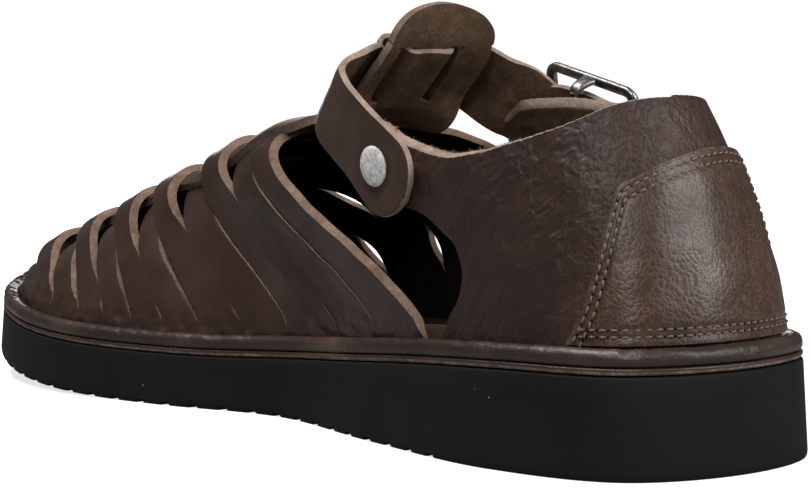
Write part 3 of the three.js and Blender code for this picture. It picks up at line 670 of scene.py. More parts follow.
# closed shell under the foot: rows of (share of the way out from the middle line, inset, height function), one
# point per outline sample in each row; the first and last rows lie on the middle line
def soleShell(name, rows, materials, replaced, every=1, paleRows=()):
    plan = {}
    points = []
    for share, inset, height in rows:
        if inset not in plan:
            plan[inset] = insetOutline(inset)[::every]
        edge = plan[inset]
        middleY = np.clip(edge[:, 1], 38, 246)
        middleX = (sideX("inner", middleY, 6.0) + sideX("outer", middleY, 6.0)) / 2
        x = mix(middleX, edge[:, 0], share)
        y = mix(middleY, edge[:, 1], share)
        points.append(np.stack([x, y, height(y)], axis=-1))
    grid = np.stack(points)
    faces = gridFaces(grid.shape[0], grid.shape[1], wrapColumns=True)
    kind = np.isin(np.repeat(np.arange(len(rows) - 1), grid.shape[1]), paleRows).astype(int)
    return meshPiece(name, grid, facingOut(grid, faces), materials, replaced, kind)


soleLook = {"lugPitch": 9.0, "lugDepth": 1.1, "lugFrom": 60.0, "grooveHalf": 0.9, "grooveFlank": 0.75}


# ground profile with transverse grooves: each a flat floor with sloping flanks
def treadHeight(y):
    look = soleLook
    near = np.abs((y - look["lugFrom"] + look["lugPitch"] / 2) % look["lugPitch"] - look["lugPitch"] / 2)
    groove = 1 - smooth(near, look["grooveHalf"], look["grooveHalf"] + look["grooveFlank"])
    shown = smooth(y, look["lugFrom"] - 3, look["lugFrom"] - 2) * (1 - smooth(y, 279, 281))
    return groundHeight(y) + look["lugDepth"] * groove * shown


def makeSole():
    rise = lambda amount: (lambda y: groundHeight(y) + amount)
    part = lambda share: (lambda y: mix(groundHeight(y) + 1.2, wedgeTop(y) - 0.6, share))
    below = lambda amount: (lambda y: wedgeTop(y) - amount)
    rows = [(share, 0.8, treadHeight) for share in (0, 0.2, 0.4, 0.6, 0.75, 0.87, 0.94, 0.98, 1.0)]
    rows += [(1, 0.35, lambda y: treadHeight(y) * 0.7 + (groundHeight(y) + 0.35) * 0.3),
             (1, 0.1, lambda y: treadHeight(y) * 0.25 + (groundHeight(y) + 0.9) * 0.75), (1, 0.02, rise(1.5))]
    rows += [(1, mix(0.0, 1.0, share), part(share)) for share in (0.2, 0.4, 0.6, 0.8, 1.0)]
    rows += [(1, 1.1, below(0.25)), (1, 1.3, below(0.06)), (1, 1.65, below(0))]
    rows += [(share, 1.65, below(0)) for share in (0.9, 0.5, 0)]
    soleShell("foamWedge", rows, [rubber], ["outsole"])

    low, top = shoe["gap"], shoe["gap"] + shoe["plateThickness"]
    above = lambda amount: (lambda y: wedgeTop(y) + amount)
    plate = [(0, 1.5, above(low)), (0.9, 1.5, above(low)), (1, 1.9, above(low)), (1, 1.5, above(low + 0.12)),
             (1, 1.25, above(low + 0.4)), (1, 1.1, above(low + 0.75)), (1, 1.1, above(top - 0.35)),
             (1, 1.3, above(top - 0.1)), (1, 1.9, above(top)), (0.9, 1.5, above(top)), (0, 1.5, above(top))]
    soleShell("middleSole", plate, [weltLeather, soleEdge], ["midsole"], every=2,
              paleRows=(2, 3, 4))

    inset = shoe["upperInset"] + shoe["leather"] + 1.6       # clear of the upper's inside
    base = lambda amount: (lambda y: seatHeight(y) + amount)
    bed = [(0, inset, base(0)), (1, inset, base(0)), (1, inset, base(1.6)), (1, inset + 0.9, base(2.5)),
           (1, inset + 2.8, base(2.9)), (0.85, inset, base(2.7)), (0.6, inset, base(2.4)), (0.3, inset, base(2.2)),
           (0, inset, base(2.2))]
    soleShell("footbed", bed, [insoleLeather], ["insole"], every=3)
    print("sole made")


makeSole()


# rim: a rolled section carried round the outline; small bunches of creases pull it in and out towards the toe
def makeWelt():
    look = {"creaseDepth": 0.10, "toeCrease": 0.45, "creasePitch": 3.8}
    section = np.array([
        (5.35, -0.2), (2.5, -0.2), (1.7, -0.12), (1.38, 0.15), (1.2, 0.6), (1.15, 1.1), (1.2, 1.7), (1.4, 2.3),
        (1.75, 2.85), (2.3, 3.25), (3.0, 3.5), (3.8, 3.5), (4.6, 3.25), (5.1, 3.0), (5.35, 2.7),
    ])
    stations = np.arange(0, len(outline), 2)
    edge = outline[stations]
    inward = outlineIn[stations]
    grid = []
    reach = stations * outlineStep
    for inset, rise in section:
        xy = edge + inward * inset
        p = np.column_stack([xy, seatHeight(xy[:, 1]) + rise])
        toe = smooth(xy[:, 1], 225, 275)
        bunch = ripple(np.column_stack([reach, reach * 0 + rise * 2, reach * 0]), look["creasePitch"], 4)
        free = smooth(rise, 0.6, 2.2) * smooth(section[:, 0].max() - inset, 0.2, 1.2)
        depth = mix(look["creaseDepth"], look["toeCrease"], toe) * free * np.minimum(bunch, 0.4)
        grid.append(p + np.column_stack([-inward * depth[:, None] * 0.5, depth]))
    grid = np.stack(grid)
    faces = gridFaces(grid.shape[0], grid.shape[1], wrapRows=True, wrapColumns=True)
    meshPiece("weltRim", grid, facingOut(grid, faces), [weltLeather], ["welt"], sharp=60)
    print("welt made")


makeWelt()

# vamp: toe, strips and the strap they are woven round

# millimetres, but for outerGaps: the cut, where across it gapes, how far either way, and how wide
vampLook = {"weaveStep": 2.2, "centreHalf": 7.5, "slitMedial": 0.45, "slitTop": 0.7, "slitFoot": 6.0,
            "slitShut": 13.0, "shutStep": 3.6,
            "outerGaps": ((7, 0.38, 0.08, 4.6), (6, 0.68, 0.09, 4.6), (8, 0.68, 0.07, 4.4)),
            "crown": 0.25, "shingle": 0.9, "edgeRound": 0.1, "bevel": 1.5, "toeBevel": 2.2, "plainBevel": 0.25,
            "wave": 0.08, "wavePitch": 10, "gather": 0.16, "gatherPitch": 3.6, "reach": 0.995, "stations": 190}

# soft creases as the side shows them: from (y, z) to (y, z), on the inner (-1) or outer (1) side
creaseTable = [         # side, start, end, half width, depth
    (-1, (232, 22), (222, 34), 3.4, 0.30),
    (-1, (240, 21), (236, 30), 2.9, 0.25),
    (-1, (214, 20), (204, 27), 3.1, 0.25),
    (-1, (188, 19), (176, 25), 2.9, 0.22),
    (-1, (252, 22), (262, 29), 2.6, 0.25),
    (-1, (268, 24), (272, 31), 2.3, 0.22),
    (-1, (160, 19), (146, 24), 2.9, 0.19),
    (1, (236, 22), (224, 33), 3.4, 0.28),
    (1, (210, 20), (198, 28), 3.1, 0.22),
    (-1, (92, 55), (74, 47), 2.4, 0.45),
    (-1, (84, 62), (66, 55), 2.8, 0.50),
    (-1, (62, 60), (52, 44), 3.0, 0.40),
    (-1, (54, 40), (44, 32), 2.8, 0.40),
    (1, (95, 66), (76, 58), 3.0, 0.45),
    (1, (60, 58), (46, 40), 3.2, 0.40),
]


def creases(points):
    drop = np.zeros(points.shape[:-1])
    yz = points[..., 1:]
    for side, start, end, half, depth in creaseTable:
        start = np.array(start, float)
        along = np.array(end, float) - start
        t = np.clip(((yz - start) @ along) / (along @ along), 0, 1)
        away = np.linalg.norm(yz - start - t[..., None] * along, axis=-1)
        fade = np.sin(np.pi * np.clip(t, 0.04, 0.96)) ** 0.5
        onSide = smooth(side * points[..., 0], 2, 8)
        drop -= depth * np.exp(-(away / half) ** 2) * fade * onSide
    return drop


def vampRise(place, across):
    base = vampBase(place, across)
    return vampPlain(place, across)[..., 2] - base[..., 2]


# height in millimetres above the welt at which cut k changes from shut to open
def shutAt(k):
    return vampLook["slitShut"] + vampLook["shutStep"] * (k - 3)


# how far the cut in front of strip k is open, 0 to 1. Behind a strip that comes over the centre strap it gapes at
# the top, lies shut lower down and opens again in a short mark at its foot. In front of one it is a thin line up
# from the foot that closes at shutAt. The cuts by the toe and the last ones are lines all the way up.
def cutOpen(k, rise):
    if k == 0:
        return rise * 0
    foot = vampLook["slitFoot"] + 0.9 * math.sin(3.1 * k)
    line = smooth(rise, foot, foot + 1.5)
    if k < 3 or k > 9:
        return line
    shut = shutAt(k)
    if k % 2 == 0:
        return line * (1 - 0.9 * smooth(rise, shut, shut + 5))
    mark = line * (1 - smooth(rise, foot + 3.0, foot + 5.0))
    return np.maximum(mark, smooth(rise, shut, shut + 8))


# width in millimetres of that cut; three outer cuts stand open part of the way down
def slitWidth(k, across):
    look = vampLook
    place = np.full_like(across, firstStrip + k, dtype=float)
    rise = vampRise(place, across)
    width = (look["slitMedial"] + look["slitTop"] * smooth(rise, 14, 34)) * cutOpen(k, rise)
    width = width * (1 - 0.9 * smooth(across, 0, 0.1))
    for cut, middle, half, gap in look["outerGaps"]:
        if cut == k:
            width = width + gap * np.exp(-((across - middle) / half) ** 2)
    return np.maximum(width, 0.02)


def makeStrips():
    look = vampLook
    c = np.cos(np.pi * np.linspace(0, 1, 19))       # over a strip's width, closer together near its edges
    c = 0.5 - 0.5 * c * (0.35 + 0.65 * np.abs(c) ** 0.3)
    across = np.linspace(-look["reach"], look["reach"], look["stations"])
    for i in range(stripCount):
        over = i % 2 == 0 and i < stripCount - 2
        start = np.full_like(across, firstStrip + i)
        width = np.linalg.norm(vampPlain(start + 1, across) - vampPlain(start, across), axis=-1)
        low = start + 0.5 * slitWidth(i, across) / width
        high = start + 1 - 0.5 * slitWidth(i + 1, across) / width
        place = low[:, None] + (high - low)[:, None] * c[None]
        wide = np.broadcast_to(across[:, None], place.shape)
        plain = vampPlain(place, wide)
        normal = vampNormal(place, wide)
        rise = vampRise(place, wide)
        clear = acrossAt(place, wide, look["centreHalf"] + 1)
        clear = np.where(wide < 0, clear, clear - 0.05)
        reach = np.where(wide < 0, 0.45, 0.05)
        hook = shutAt(i + 1 if i % 2 == 0 else i)
        hooked = smooth(rise, hook - 1, hook + 12) if i > 1 else 1.0
        atStrap = 1 - smooth(np.abs(wide), clear, clear + reach)
        lift = (1 if over else -1) * look["weaveStep"] * atStrap * hooked
        free = smooth(rise, 6, 16)
        openLow, openHigh = cutOpen(i, rise), cutOpen(i + 1, rise)
        openHere = np.where(c[None] < 0.5, openLow, openHigh)
        lift = lift + look["crown"] * (1 - (2 * c[None] - 1) ** 2 * openHere) * free
        lift = lift + look["shingle"] * np.maximum(c[None] - 0.5, 0) * free * (0.6 if over else 0.3) * openHigh
        fromLow, fromHigh = c[None] * width[:, None], (1 - c[None]) * width[:, None]
        lift = lift - look["edgeRound"] * (1 - smooth(fromLow, 0, 0.6)) * openLow
        lift = lift - look["edgeRound"] * (1 - smooth(fromHigh, 0, 0.6)) * openHigh
        lift = lift + look["wave"] * ripple(plain, look["wavePitch"], 20) + creases(plain)
        gathered = (1 - smooth(rise, 5, 11)) * smooth(rise, 0.5, 2)
        folds = look["gather"] * ripple(plain, look["gatherPitch"], 23) + 0.12 * ripple(plain, 6, 24)
        lift = lift + gathered * folds
        bevel = look["toeBevel"] * smooth(rise, 8, 12) if i < 2 else look["plainBevel"] * smooth(rise, 8, 20)
        if over and i > 1:
            bevel = look["bevel"] * smooth(rise, hook, hook + 8)
        if i == stripCount - 1:
            bevel = look["bevel"] * smooth(rise, 4, 12)
        cut = vampPlain(place - bevel / width[:, None] * c[None] ** 7, wide)
        face, back = twoFaces(cut, plain, normal, lift)
        # the strip's back takes the flesh material with painted shade
        sheetPiece(f"vampStrip{i + 1:02d}", face, back, [vampLeather, stripEdge, shadedFleshSide],
                   ["upper"], bulge=0.2)
    print("strips made")


makeStrips()


# toe: the vamp in front of the first strip, with a low ridge of gathers where it is pulled under the welt
def makeToe():
    look = {"gatherPitch": 3.6, "gatherDepth": 0.5, "seamDepth": 0.7, "seamY": 280.0}
    place = np.linspace(0.03, firstStrip - 0.01, 40)[:, None]
    across = np.linspace(-vampLook["reach"], vampLook["reach"], vampLook["stations"])[None]
    place, across = np.broadcast_arrays(place, across)
    plain = vampPlain(place, across)
    normal = vampNormal(place, across)
    clear = acrossAt(place, across, vampLook["centreHalf"] + 1)
    lift = -vampLook["weaveStep"] * (1 - smooth(np.abs(across), clear, clear + 0.3)) * smooth(place, 0.8, 1.6)
    rise = vampRise(place, across)
    folds = ripple(plain * np.array([1, 1, 0.25]), look["gatherPitch"], 31)
    gather = (1 - smooth(rise, 1.5, 8)) * np.minimum(folds, 0.5)
    lift = lift + look["gatherDepth"] * gather + 0.1 * ripple(plain, 7, 20) + creases(plain)
    seam = np.exp(-((plain[..., 1] - look["seamY"]) / 0.8) ** 2) * smooth(-plain[..., 0], 4, 8)
    lift = lift - look["seamDepth"] * seam
    face, back = twoFaces(plain, plain, normal, lift)
    # the toe's back takes the flesh material with painted shade
    sheetPiece("toeCap", face, back, [vampLeather, stripEdge, shadedFleshSide], ["upper"])
    print("toe made")


makeToe()


# band inside the feet of the strips and the quarter: it shows as the sill of the cut-outs, and lies lower and
# further in under the strips
def makeBand():
    section = [(6.75, 0.3), (6.75, 3.0), (6.8, 5.2), (6.9, 6.1), (7.15, 6.35), (7.5, 6.0), (7.65, 5.0),
               (7.7, 0.3)]
    grid = []
    for inset, rise in section:
        front = smooth(outline[::3, 1], 104, 122)
        xy = outline[::3] + outlineIn[::3] * (inset + 1.3 * front)[:, None]
        grid.append(np.column_stack([xy, wedgeTop(xy[:, 1]) + weltTopRise + rise * mix(1, 0.4, front)]))
    grid = np.stack(grid)
    faces = gridFaces(grid.shape[0], grid.shape[1], wrapRows=True, wrapColumns=True)
    meshPiece("lastingBand", grid, facingOut(grid, faces), [brownLeather], ["upper"])


makeBand()

# quarter and heel counter

heelPlan = insetOutline(shoe["upperInset"])
innerRun = heelPlan[:700, 1]
outerRun = heelPlan[-np.arange(700) % len(heelPlan), 1]
climbMillimetres = 110.0     # about the height that one whole climb stands for


# where a place (y, z) seen from the side lies on the quarter: outline millimetres from the heel, and climb, by
# repeated tries
def quarterPlace(side, y, z):
    y, z = np.asarray(y, float), np.asarray(z, float)
    base = y.copy()
    for _ in range(60):
        top = ribTop(base)[..., 2]
        rise = np.clip((z - seatHeight(base)) / (top - seatHeight(base)), 0, 0.999)
        inward = (1 - np.sqrt(1 - rise ** 2)) ** ribPower(base)
        found = (y - inward * ribShape["start"]) / (1 - (1 - ribShape["share"]) * inward)
        base = 0.5 * base + 0.5 * found
    run = innerRun if side < 0 else outerRun
    around = np.interp(base, np.maximum.accumulate(run), np.arange(700)) * outlineStep
    return np.stack([-side * around, np.arcsin(rise) / (math.pi / 2) * climbMillimetres], axis=-1)


def onQuarter(place):
    return quarterPlain(place[..., 0] / outlineStep, place[..., 1] / climbMillimetres)


def quarterOut(place):
    return quarterNormal(place[..., 0] / outlineStep, place[..., 1] / climbMillimetres)


# climb at which a rib of the quarter meets a height that may depend on the point reached, by halving
def climbTo(around, heightAt):
    low, high = np.full_like(around, 1.0), np.full_like(around, 100.0)
    for _ in range(40):
        middle = (low + high) / 2
        p = onQuarter(np.stack([around, middle], axis=-1))
        below = p[..., 2] < heightAt(around, p)
        low, high = np.where(below, middle, low), np.where(below, high, middle)
    return low


# patch between four curves: the two blends across and along, less the blend of the corners
def patch(bottom, top, left, right):
    u = np.linspace(0, 1, len(bottom))[None, :, None]
    v = np.linspace(0, 1, len(left))[:, None, None]
    corners = (mix(mix(bottom[0], bottom[-1], u), mix(top[0], top[-1], u), v))
    return mix(bottom[None], top[None], v) + mix(left[:, None], right[:, None], u) - corners


# fronts run up from the welt to the arm's tip; top edges run from the tip back to the heel, as y and z
quarterShape = {
    "innerFront": [(62, 22.4), (61.6, 26), (59.5, 30), (55.8, 35), (55.2, 41), (58, 46.5), (63, 49.3), (71, 52.7),
                   (86, 56), (98, 63), (101, 69), (100.4, 72.4)],
    "innerTop": [(-30, 84), (8, 81), (23, 78.5), (34.3, 72.6), (42.6, 70.2), (52.3, 68), (62.8, 66.8), (69, 67.4),
                 (83.3, 70.1), (91, 72.3), (98.4, 74.2), (102, 74.4)],
    "outerFront": [(76, 21.6), (74.6, 26), (68.4, 35), (67, 44), (73, 52), (87, 57), (102, 61.5), (108.6, 67.5),
                   (108.2, 72.6)],
    "outerTop": [(-30, 84), (8, 81), (23, 78.5), (34, 75), (48, 74.6), (64, 76.6), (85, 78.3), (97, 78.2),
                 (106, 75), (112, 74)],
    "across": 420, "up": 66, "fibres": 240, "footClimb": 0.6, "wave": 0.14, "wavePitch": 13,
    "slantY": [0, 20, 40, 55, 70, 85],       # how far the cut edge slants down along the top, on either side
    "innerSlant": [0.4, 0.5, 0.9, 1.4, 2.0, 2.4], "outerSlant": [0.2, 0.5, 1.4, 2.0, 2.2, 2.2],
}


def makeQuarter():
    look = quarterShape
    front = {}
    for side, key in ((-1, "innerFront"), (1, "outerFront")):
        line = smoothPath(look[key], 160)
        front[side] = quarterPlace(side, line[:, 0], line[:, 1])
    inner, outer = np.array(look["innerTop"]), np.array(look["outerTop"])

    def topHeight(around, p):
        return np.where(around > 0, curveThrough(inner[:, 0], inner[:, 1], p[..., 1]),
                        curveThrough(outer[:, 0], outer[:, 1], p[..., 1]))
    around = np.linspace(front[-1][-1, 0], front[1][-1, 0], 900)
    climb = climbTo(around, topHeight)
    rough = 0.06 * np.sin(around * 1.9) + 0.05 * np.sin(around * 3.7 + 1)
    top = evenly(np.stack([around, climb + rough], axis=-1), look["across"])
    top[0], top[-1] = front[-1][-1], front[1][-1]
    foot = np.linspace(front[-1][0, 0], front[1][0, 0], look["across"])
    base = np.stack([foot, np.full(look["across"], look["footClimb"])], axis=-1)
    front[-1][0, 1] = front[1][0, 1] = look["footClimb"]
    place = patch(base, top, evenly(front[-1], look["up"]), evenly(front[1], look["up"]))
    plain, normal = onQuarter(place), quarterOut(place)
    lift = creases(plain) + look["wave"] * ripple(plain, look["wavePitch"], 40) + 0.06 * ripple(plain, 6, 41)
    lift = lift * (1 - 0.85 * (1 - smooth(np.abs(place[..., 0]), 30, 44)))
    nearTop = smooth(np.linspace(0, 1, look["up"]), 0.86, 1.0)[:, None]
    slant = np.interp(plain[..., 1], look["slantY"], look["innerSlant"])
    farSlant = np.interp(plain[..., 1], look["slantY"], look["outerSlant"])
    lowered = lambda amount: onQuarter(place - np.stack([amount * 0, amount * nearTop], axis=-1))
    face, back = twoFaces(lowered(np.where(place[..., 0] > 0, slant, 0)),
                          lowered(np.where(place[..., 0] > 0, 0, farSlant)), normal, lift)
    sheetPiece("quarter", face, back, [pebbledLeather, rawEdge, fleshSide], ["upper"],
               bulge=0.3)
    rim = (face[-1] + 2 * back[-1]) / 3
    makeFibres(rim[(place[-1, :, 0] > 0) & (rim[:, 1] > 44)], look["fibres"])
    print("quarter made")


# loose fibres standing up from a cut edge: three-sided spikes in random directions
def makeFibres(edge, count):
    random = np.random.default_rng(7)
    root = edge[random.integers(0, len(edge), count)] + random.normal(0, 0.12, (count, 3))
    way = unit(np.array([0.35, 0.1, 0.8]) + random.normal(0, 0.45, (count, 3)))
    side = unit(np.cross(way, np.array([0.3, 1.0, 0.2])))
    other = np.cross(way, side)
    reach = random.uniform(0.5, 1.5, count)[:, None]
    ring = [root + 0.07 * (side * math.cos(a) + other * math.sin(a)) for a in (0, 2.1, 4.2)]
    bent = root + way * reach + side * random.normal(0, 0.25, (count, 1))
    points = np.stack([*ring, bent - side * 0.01, bent + side * 0.01], axis=1)
    one = np.array([[0, 1, 4, 3], [1, 2, 4, 4], [2, 0, 3, 4], [0, 2, 1, 1]])
    faces = (one[None] + 5 * np.arange(count)[:, None, None]).reshape(-1, 4).tolist()
    faces = [list(dict.fromkeys(face)) for face in faces]
    meshPiece("edgeFibres", points, faces, [rawEdge], ["upper"])


makeQuarter()

# rows and footRows are the stitch lines' distances from the edge and from the foot
counterSizes = {"edge": [(24, 27.4), (20.9, 36), (20, 47), (20, 53), (20.1, 57.5)], "cornerHeight": 59.0,
                "backHeight": 66.9, "footHeight": 27.3, "peakShift": -12.0, "thickness": 1.5, "off": 0.25,
                "rows": (1.5, 3.3), "footRows": (1.8, 3.2), "pitch": 2.2, "stitch": 1.5, "threadRadius": 0.27,
                "groove": 0.28, "footGroove": 0.24, "wave": 0.12}


# outline of the counter on the quarter, from the inner foot over the top to the outer foot
def counterEdges():
    look = counterSizes
    line = smoothPath(look["edge"], 80)
    inner = quarterPlace(-1, line[:, 0], line[:, 1])
    outer = quarterPlace(1, line[:, 0], line[:, 1])
    reach = max(abs(inner[-1, 0]), abs(outer[-1, 0]))
    around = np.linspace(inner[-1, 0], outer[-1, 0], 400)
    drop = look["backHeight"] - look["cornerHeight"]
    shift = look["peakShift"]
    fall = lambda a: drop * np.abs((a - shift) / (reach - shift)) ** 1.9
    over = climbTo(around, lambda a, p: look["backHeight"] - fall(a))
    corners = np.array([inner[0, 0], outer[0, 0]])
    inner[0, 1], outer[0, 1] = climbTo(corners, lambda a, p: np.full_like(a, look["footHeight"] + 0.05))
    path = np.concatenate([inner, np.stack([around, over], axis=-1)[1:-1], outer[::-1]])
    smoothed = evenly(path, 900)
    kernel = np.hanning(61) / np.hanning(61).sum()       # rounds the two upper corners
    padded = np.pad(smoothed, ((30, 30), (0, 0)), mode="reflect", reflect_type="odd")
    return np.stack([np.convolve(padded[:, k], kernel, "valid") for k in (0, 1)], axis=1)


# the counter's edge moved inwards
def alongEdge(path, inset):
    along = unit(np.gradient(path, axis=0))
    inward = np.stack([along[:, 1], -along[:, 0]], axis=1)
    return path + inward * inset * (1 if inward[len(path) // 2, 1] < 0 else -1)


def makeCounter():
    look = counterSizes
    path = counterEdges()
    n = len(path)
    cut = int(np.argmin(np.abs(path[:n // 2, 1] - path[:n // 2, 1].max() * 0.86)))
    left, right = path[:cut + 1], path[n - 1 - cut:][::-1]
    top = path[cut:n - cut]
    across, up = 260, 90
    footAround = np.linspace(path[0, 0], path[-1, 0], across)
    foot = climbTo(footAround, lambda a, p: np.full_like(a, look["footHeight"] + 0.05))
    bottom = np.stack([footAround, foot], axis=-1)
    place = patch(bottom, evenly(top, across), evenly(left, up), evenly(right, up))
    plain, normal = onQuarter(place), quarterOut(place)
    rows = [alongEdge(path, inset) for inset in look["rows"]]
    lift = np.full(place.shape[:-1], look["off"] + look["thickness"])
    for row in rows:
        near = np.min(np.linalg.norm(place[:, :, None] - row[None, None, ::6], axis=-1), axis=-1)
        lift -= look["groove"] * np.exp(-(near / 0.75) ** 2)
    z = plain[..., 2]
    for above in look["footRows"]:
        lift -= look["footGroove"] * np.exp(-((z - look["footHeight"] - above) / 0.6) ** 2)
    lift += look["wave"] * ripple(plain, 14, 51)
    border = np.min(np.linalg.norm(place[:, :, None] - path[None, None, ::6], axis=-1), axis=-1)
    lift -= 0.35 * (1 - smooth(border, 0, 1.1))
    face = plain + normal * lift[..., None]
    back = plain + normal * 0.15
    sheetPiece("heelCounter", face, back, [counterLeather, pebbledLeather], ["heel_counter"],
               bulge=0.15)
    return path, rows


# short stitches along paths on the quarter: each a thin six-sided bead that dips at both ends
def stitches(name, paths, lift, look):
    ring = np.linspace(0, 2 * np.pi, 7)[:-1]
    t = np.linspace(0, 1, 7)
    girth = np.sin(np.pi * np.clip(t, 0.06, 0.94)) ** 0.45
    allPoints, allFaces, count = [], [], 0
    one = gridFaces(len(t), len(ring), wrapColumns=True)
    caps = np.array([[5, 4, 3, 2], [5, 2, 1, 0]])
    ends = np.concatenate([caps, caps[:, ::-1] + (len(t) - 1) * len(ring)])
    for path in paths:
        surface = onQuarter(path)
        reach = runAlong(surface)
        centres = np.arange(look["pitch"] * look["start"], reach[-1] - look["pitch"], look["pitch"])
        middle = onQuarter(pointsAt(path, reach, centres))
        out = quarterOut(pointsAt(path, reach, centres))
        before, after = (onQuarter(pointsAt(path, reach, centres + step)) for step in (-0.5, 0.5))
        along = unit(after - before)
        side = np.cross(out, along)
        along = unit(along + 0.10 * side)
        side = np.cross(out, along)
        s = (t - 0.5) * look["stitch"]
        sunk = -0.30 * np.abs(2 * t - 1) ** 3
        body = middle[:, None] + along[:, None] * s[None, :, None] + out[:, None] * (lift + sunk)[None, :, None]
        radius = look["threadRadius"] * girth
        cos, sin = np.cos(ring)[None, None, :, None], np.sin(ring)[None, None, :, None]
        spin = side[:, None, None] * cos + out[:, None, None] * sin
        points = body[:, :, None] + spin * radius[None, :, None, None]
        faces = np.concatenate([one, ends])
        faces = facingOut(points[0], faces)
        shift = np.arange(len(points))[:, None, None] * (len(t) * len(ring))
        allFaces.append((faces[None] + shift).reshape(-1, 4) + count)
        allPoints.append(points.reshape(-1, 3))
        count += points.size // 3
    meshPiece(name, np.concatenate(allPoints), np.concatenate(allFaces), [look["material"]],
              ["heel_counter"])


def makeStitches(path, rows):
    look = counterSizes
    sewn = {**look, "start": 1.0, "material": thread}
    # dark beads sunk below the thread: painted shade of the needle holes
    holeShadeBeads = {**look, "start": 1.5, "stitch": 0.62, "threadRadius": 0.3, "material": holeShade}
    top = look["off"] + look["thickness"]
    stitches("edgeStitches", rows, top - 0.02, sewn)
    stitches("edgeHoleShade", rows, top - 0.38, holeShadeBeads)
    foot = []
    for above in look["footRows"]:
        around = np.linspace(path[0, 0] - 1.5, path[-1, 0] + 1.5, 300)
        height = look["footHeight"] + above
        foot.append(np.stack([around, climbTo(around, lambda a, p: np.full_like(a, height))], axis=-1))
    stitches("footStitches", foot, top - 0.05, sewn)
    stitches("footHoleShade", foot, top - 0.34, holeShadeBeads)
    print("counter and stitches made")


makeStitches(*makeCounter())

# centre strap and its free tab

tabRows = np.array([      # y, z, half width, middle x
    (137.5, 74.2, 7.5, -5.5), (129, 75.4, 9.5, -4.8), (122, 76.0, 12.5, -4.0), (117, 76.6, 14.8, -3.6),
    (112, 80.2, 16, -3.5), (106, 85.4, 16.4, -3.5), (100.5, 90.2, 16.0, -3.5), (97.6, 93.9, 14.6, -3.5),
    (96, 97.5, 12, -3.5), (95.3, 99.8, 8.5, -3.5), (94.9, 101.3, 3.0, -3.5),
])
tabAlong = np.array([0, -0.76, 0.65])
tabOut = np.array([0, 0.65, 0.76])
tabHeight, strapLine, strapWidth = 134.2, -26.3, 20.0
slitMiddles, slitHalf = (-12.6, 2.2), 2.4
loopUp = np.array([-0.16, -0.70, 0.69])      # across the strap where it stands away from the tab


def onInstep(x, out, along=strapLine):
    return np.array([x, 0, 0]) + tabOut * out + tabAlong * along


def makeTongue():
    look = {"columns": 57, "rows": 230, "bow": 0.008, "footBow": 0.026, "thickness": 2.4, "edgeCurl": 0.25,
            "roundFrom": 92.9, "top": 101.3, "topHalf": 15.4}
    step = np.linspace(-1, 1, look["columns"])
    lastPlace = firstStrip + stripCount
    shape = (look["rows"], look["columns"])
    place = np.broadcast_to(np.linspace(0.4, lastPlace, look["rows"])[:, None], shape)
    sign = np.broadcast_to(np.sign(step) + (step == 0), shape)
    across = step[None] * acrossAt(place, sign, vampLook["centreHalf"])
    vamp = vampPlain(place, across)
    out = vampNormal(place, across)
    wave = 0.25 * np.cos(np.pi * (place - firstStrip - 0.5))
    body = vamp + out * (wave * smooth(place, 2, 3) * (1 - smooth(place, 11, 12)) - 1.0)[..., None]
    tabSide = smoothPath(tabRows[:, :2], 150)
    rowY, rowZ = tabSide[:, 0], tabSide[:, 1]
    halfWidth = curveThrough(-tabRows[:, 0], tabRows[:, 2], -rowY)
    topReach = np.clip((rowZ - look["roundFrom"]) / (look["top"] - look["roundFrom"]), 0, 0.995)
    halfWidth = np.where(rowZ > look["roundFrom"], look["topHalf"] * np.sqrt(1 - topReach ** 2), halfWidth)
    middleX = curveThrough(-tabRows[:, 0], tabRows[:, 3], -rowY)
    slope = unit(np.gradient(tabSide, axis=0))
    outward = np.column_stack([np.zeros(len(slope)), slope[:, 1], -slope[:, 0]])
    x = step[None] * halfWidth[:, None]
    free = np.stack([x + middleX[:, None], np.broadcast_to(rowY[:, None], x.shape),
                     np.broadcast_to(rowZ[:, None], x.shape)], axis=-1)
    bow = mix(look["bow"], look["footBow"], smooth(rowY, 109, 118) * (1 - smooth(rowY, 126, 137)))
    free = free - outward[:, None] * (bow[:, None] * x ** 2)[..., None]
    middle = np.concatenate([body, free])
    normal = np.concatenate([out, np.broadcast_to(outward[:, None], free.shape)])
    edge = np.abs(step)[None] ** 8 * look["edgeCurl"]
    face = middle + normal * (look["thickness"] / 2 - edge)[..., None]
    back = middle - normal * look["thickness"] / 2
    centre = (middle[:-1, :-1] + middle[1:, 1:]) / 2
    along = centre @ tabAlong
    mask = np.ones(centre.shape[:2], bool)
    inFree = np.arange(len(mask)) > look["rows"]
    for at in slitMiddles:
        slit = (np.abs(centre[..., 0] - at) < slitHalf) & (along > strapLine - strapWidth / 2 + 2)
        slit &= along < strapLine + strapWidth / 2 + 0.9
        mask &= ~(slit & inFree[:, None])
    sheetPiece("tongueTab", face, back, [brownLeather, tabEdge, fleshSide], ["tongue"],
               mask=mask, bulge=0.15)
    print("tongue made")


makeTongue()

# instep strap

buckleBack = unit(np.array([0.12, -0.95, -0.28]))
buckleOut = np.array([0.91, 0.0, 0.40])
buckleOut = unit(buckleOut - buckleBack * (buckleOut @ buckleBack))
buckleUp = unit(np.cross(buckleBack, buckleOut))
buckleCentre = np.array([37.1, 89.3, 70.6])


def onBuckle(back, out, up=0.0):
    return buckleCentre + buckleBack * back + buckleOut * out + buckleUp * up


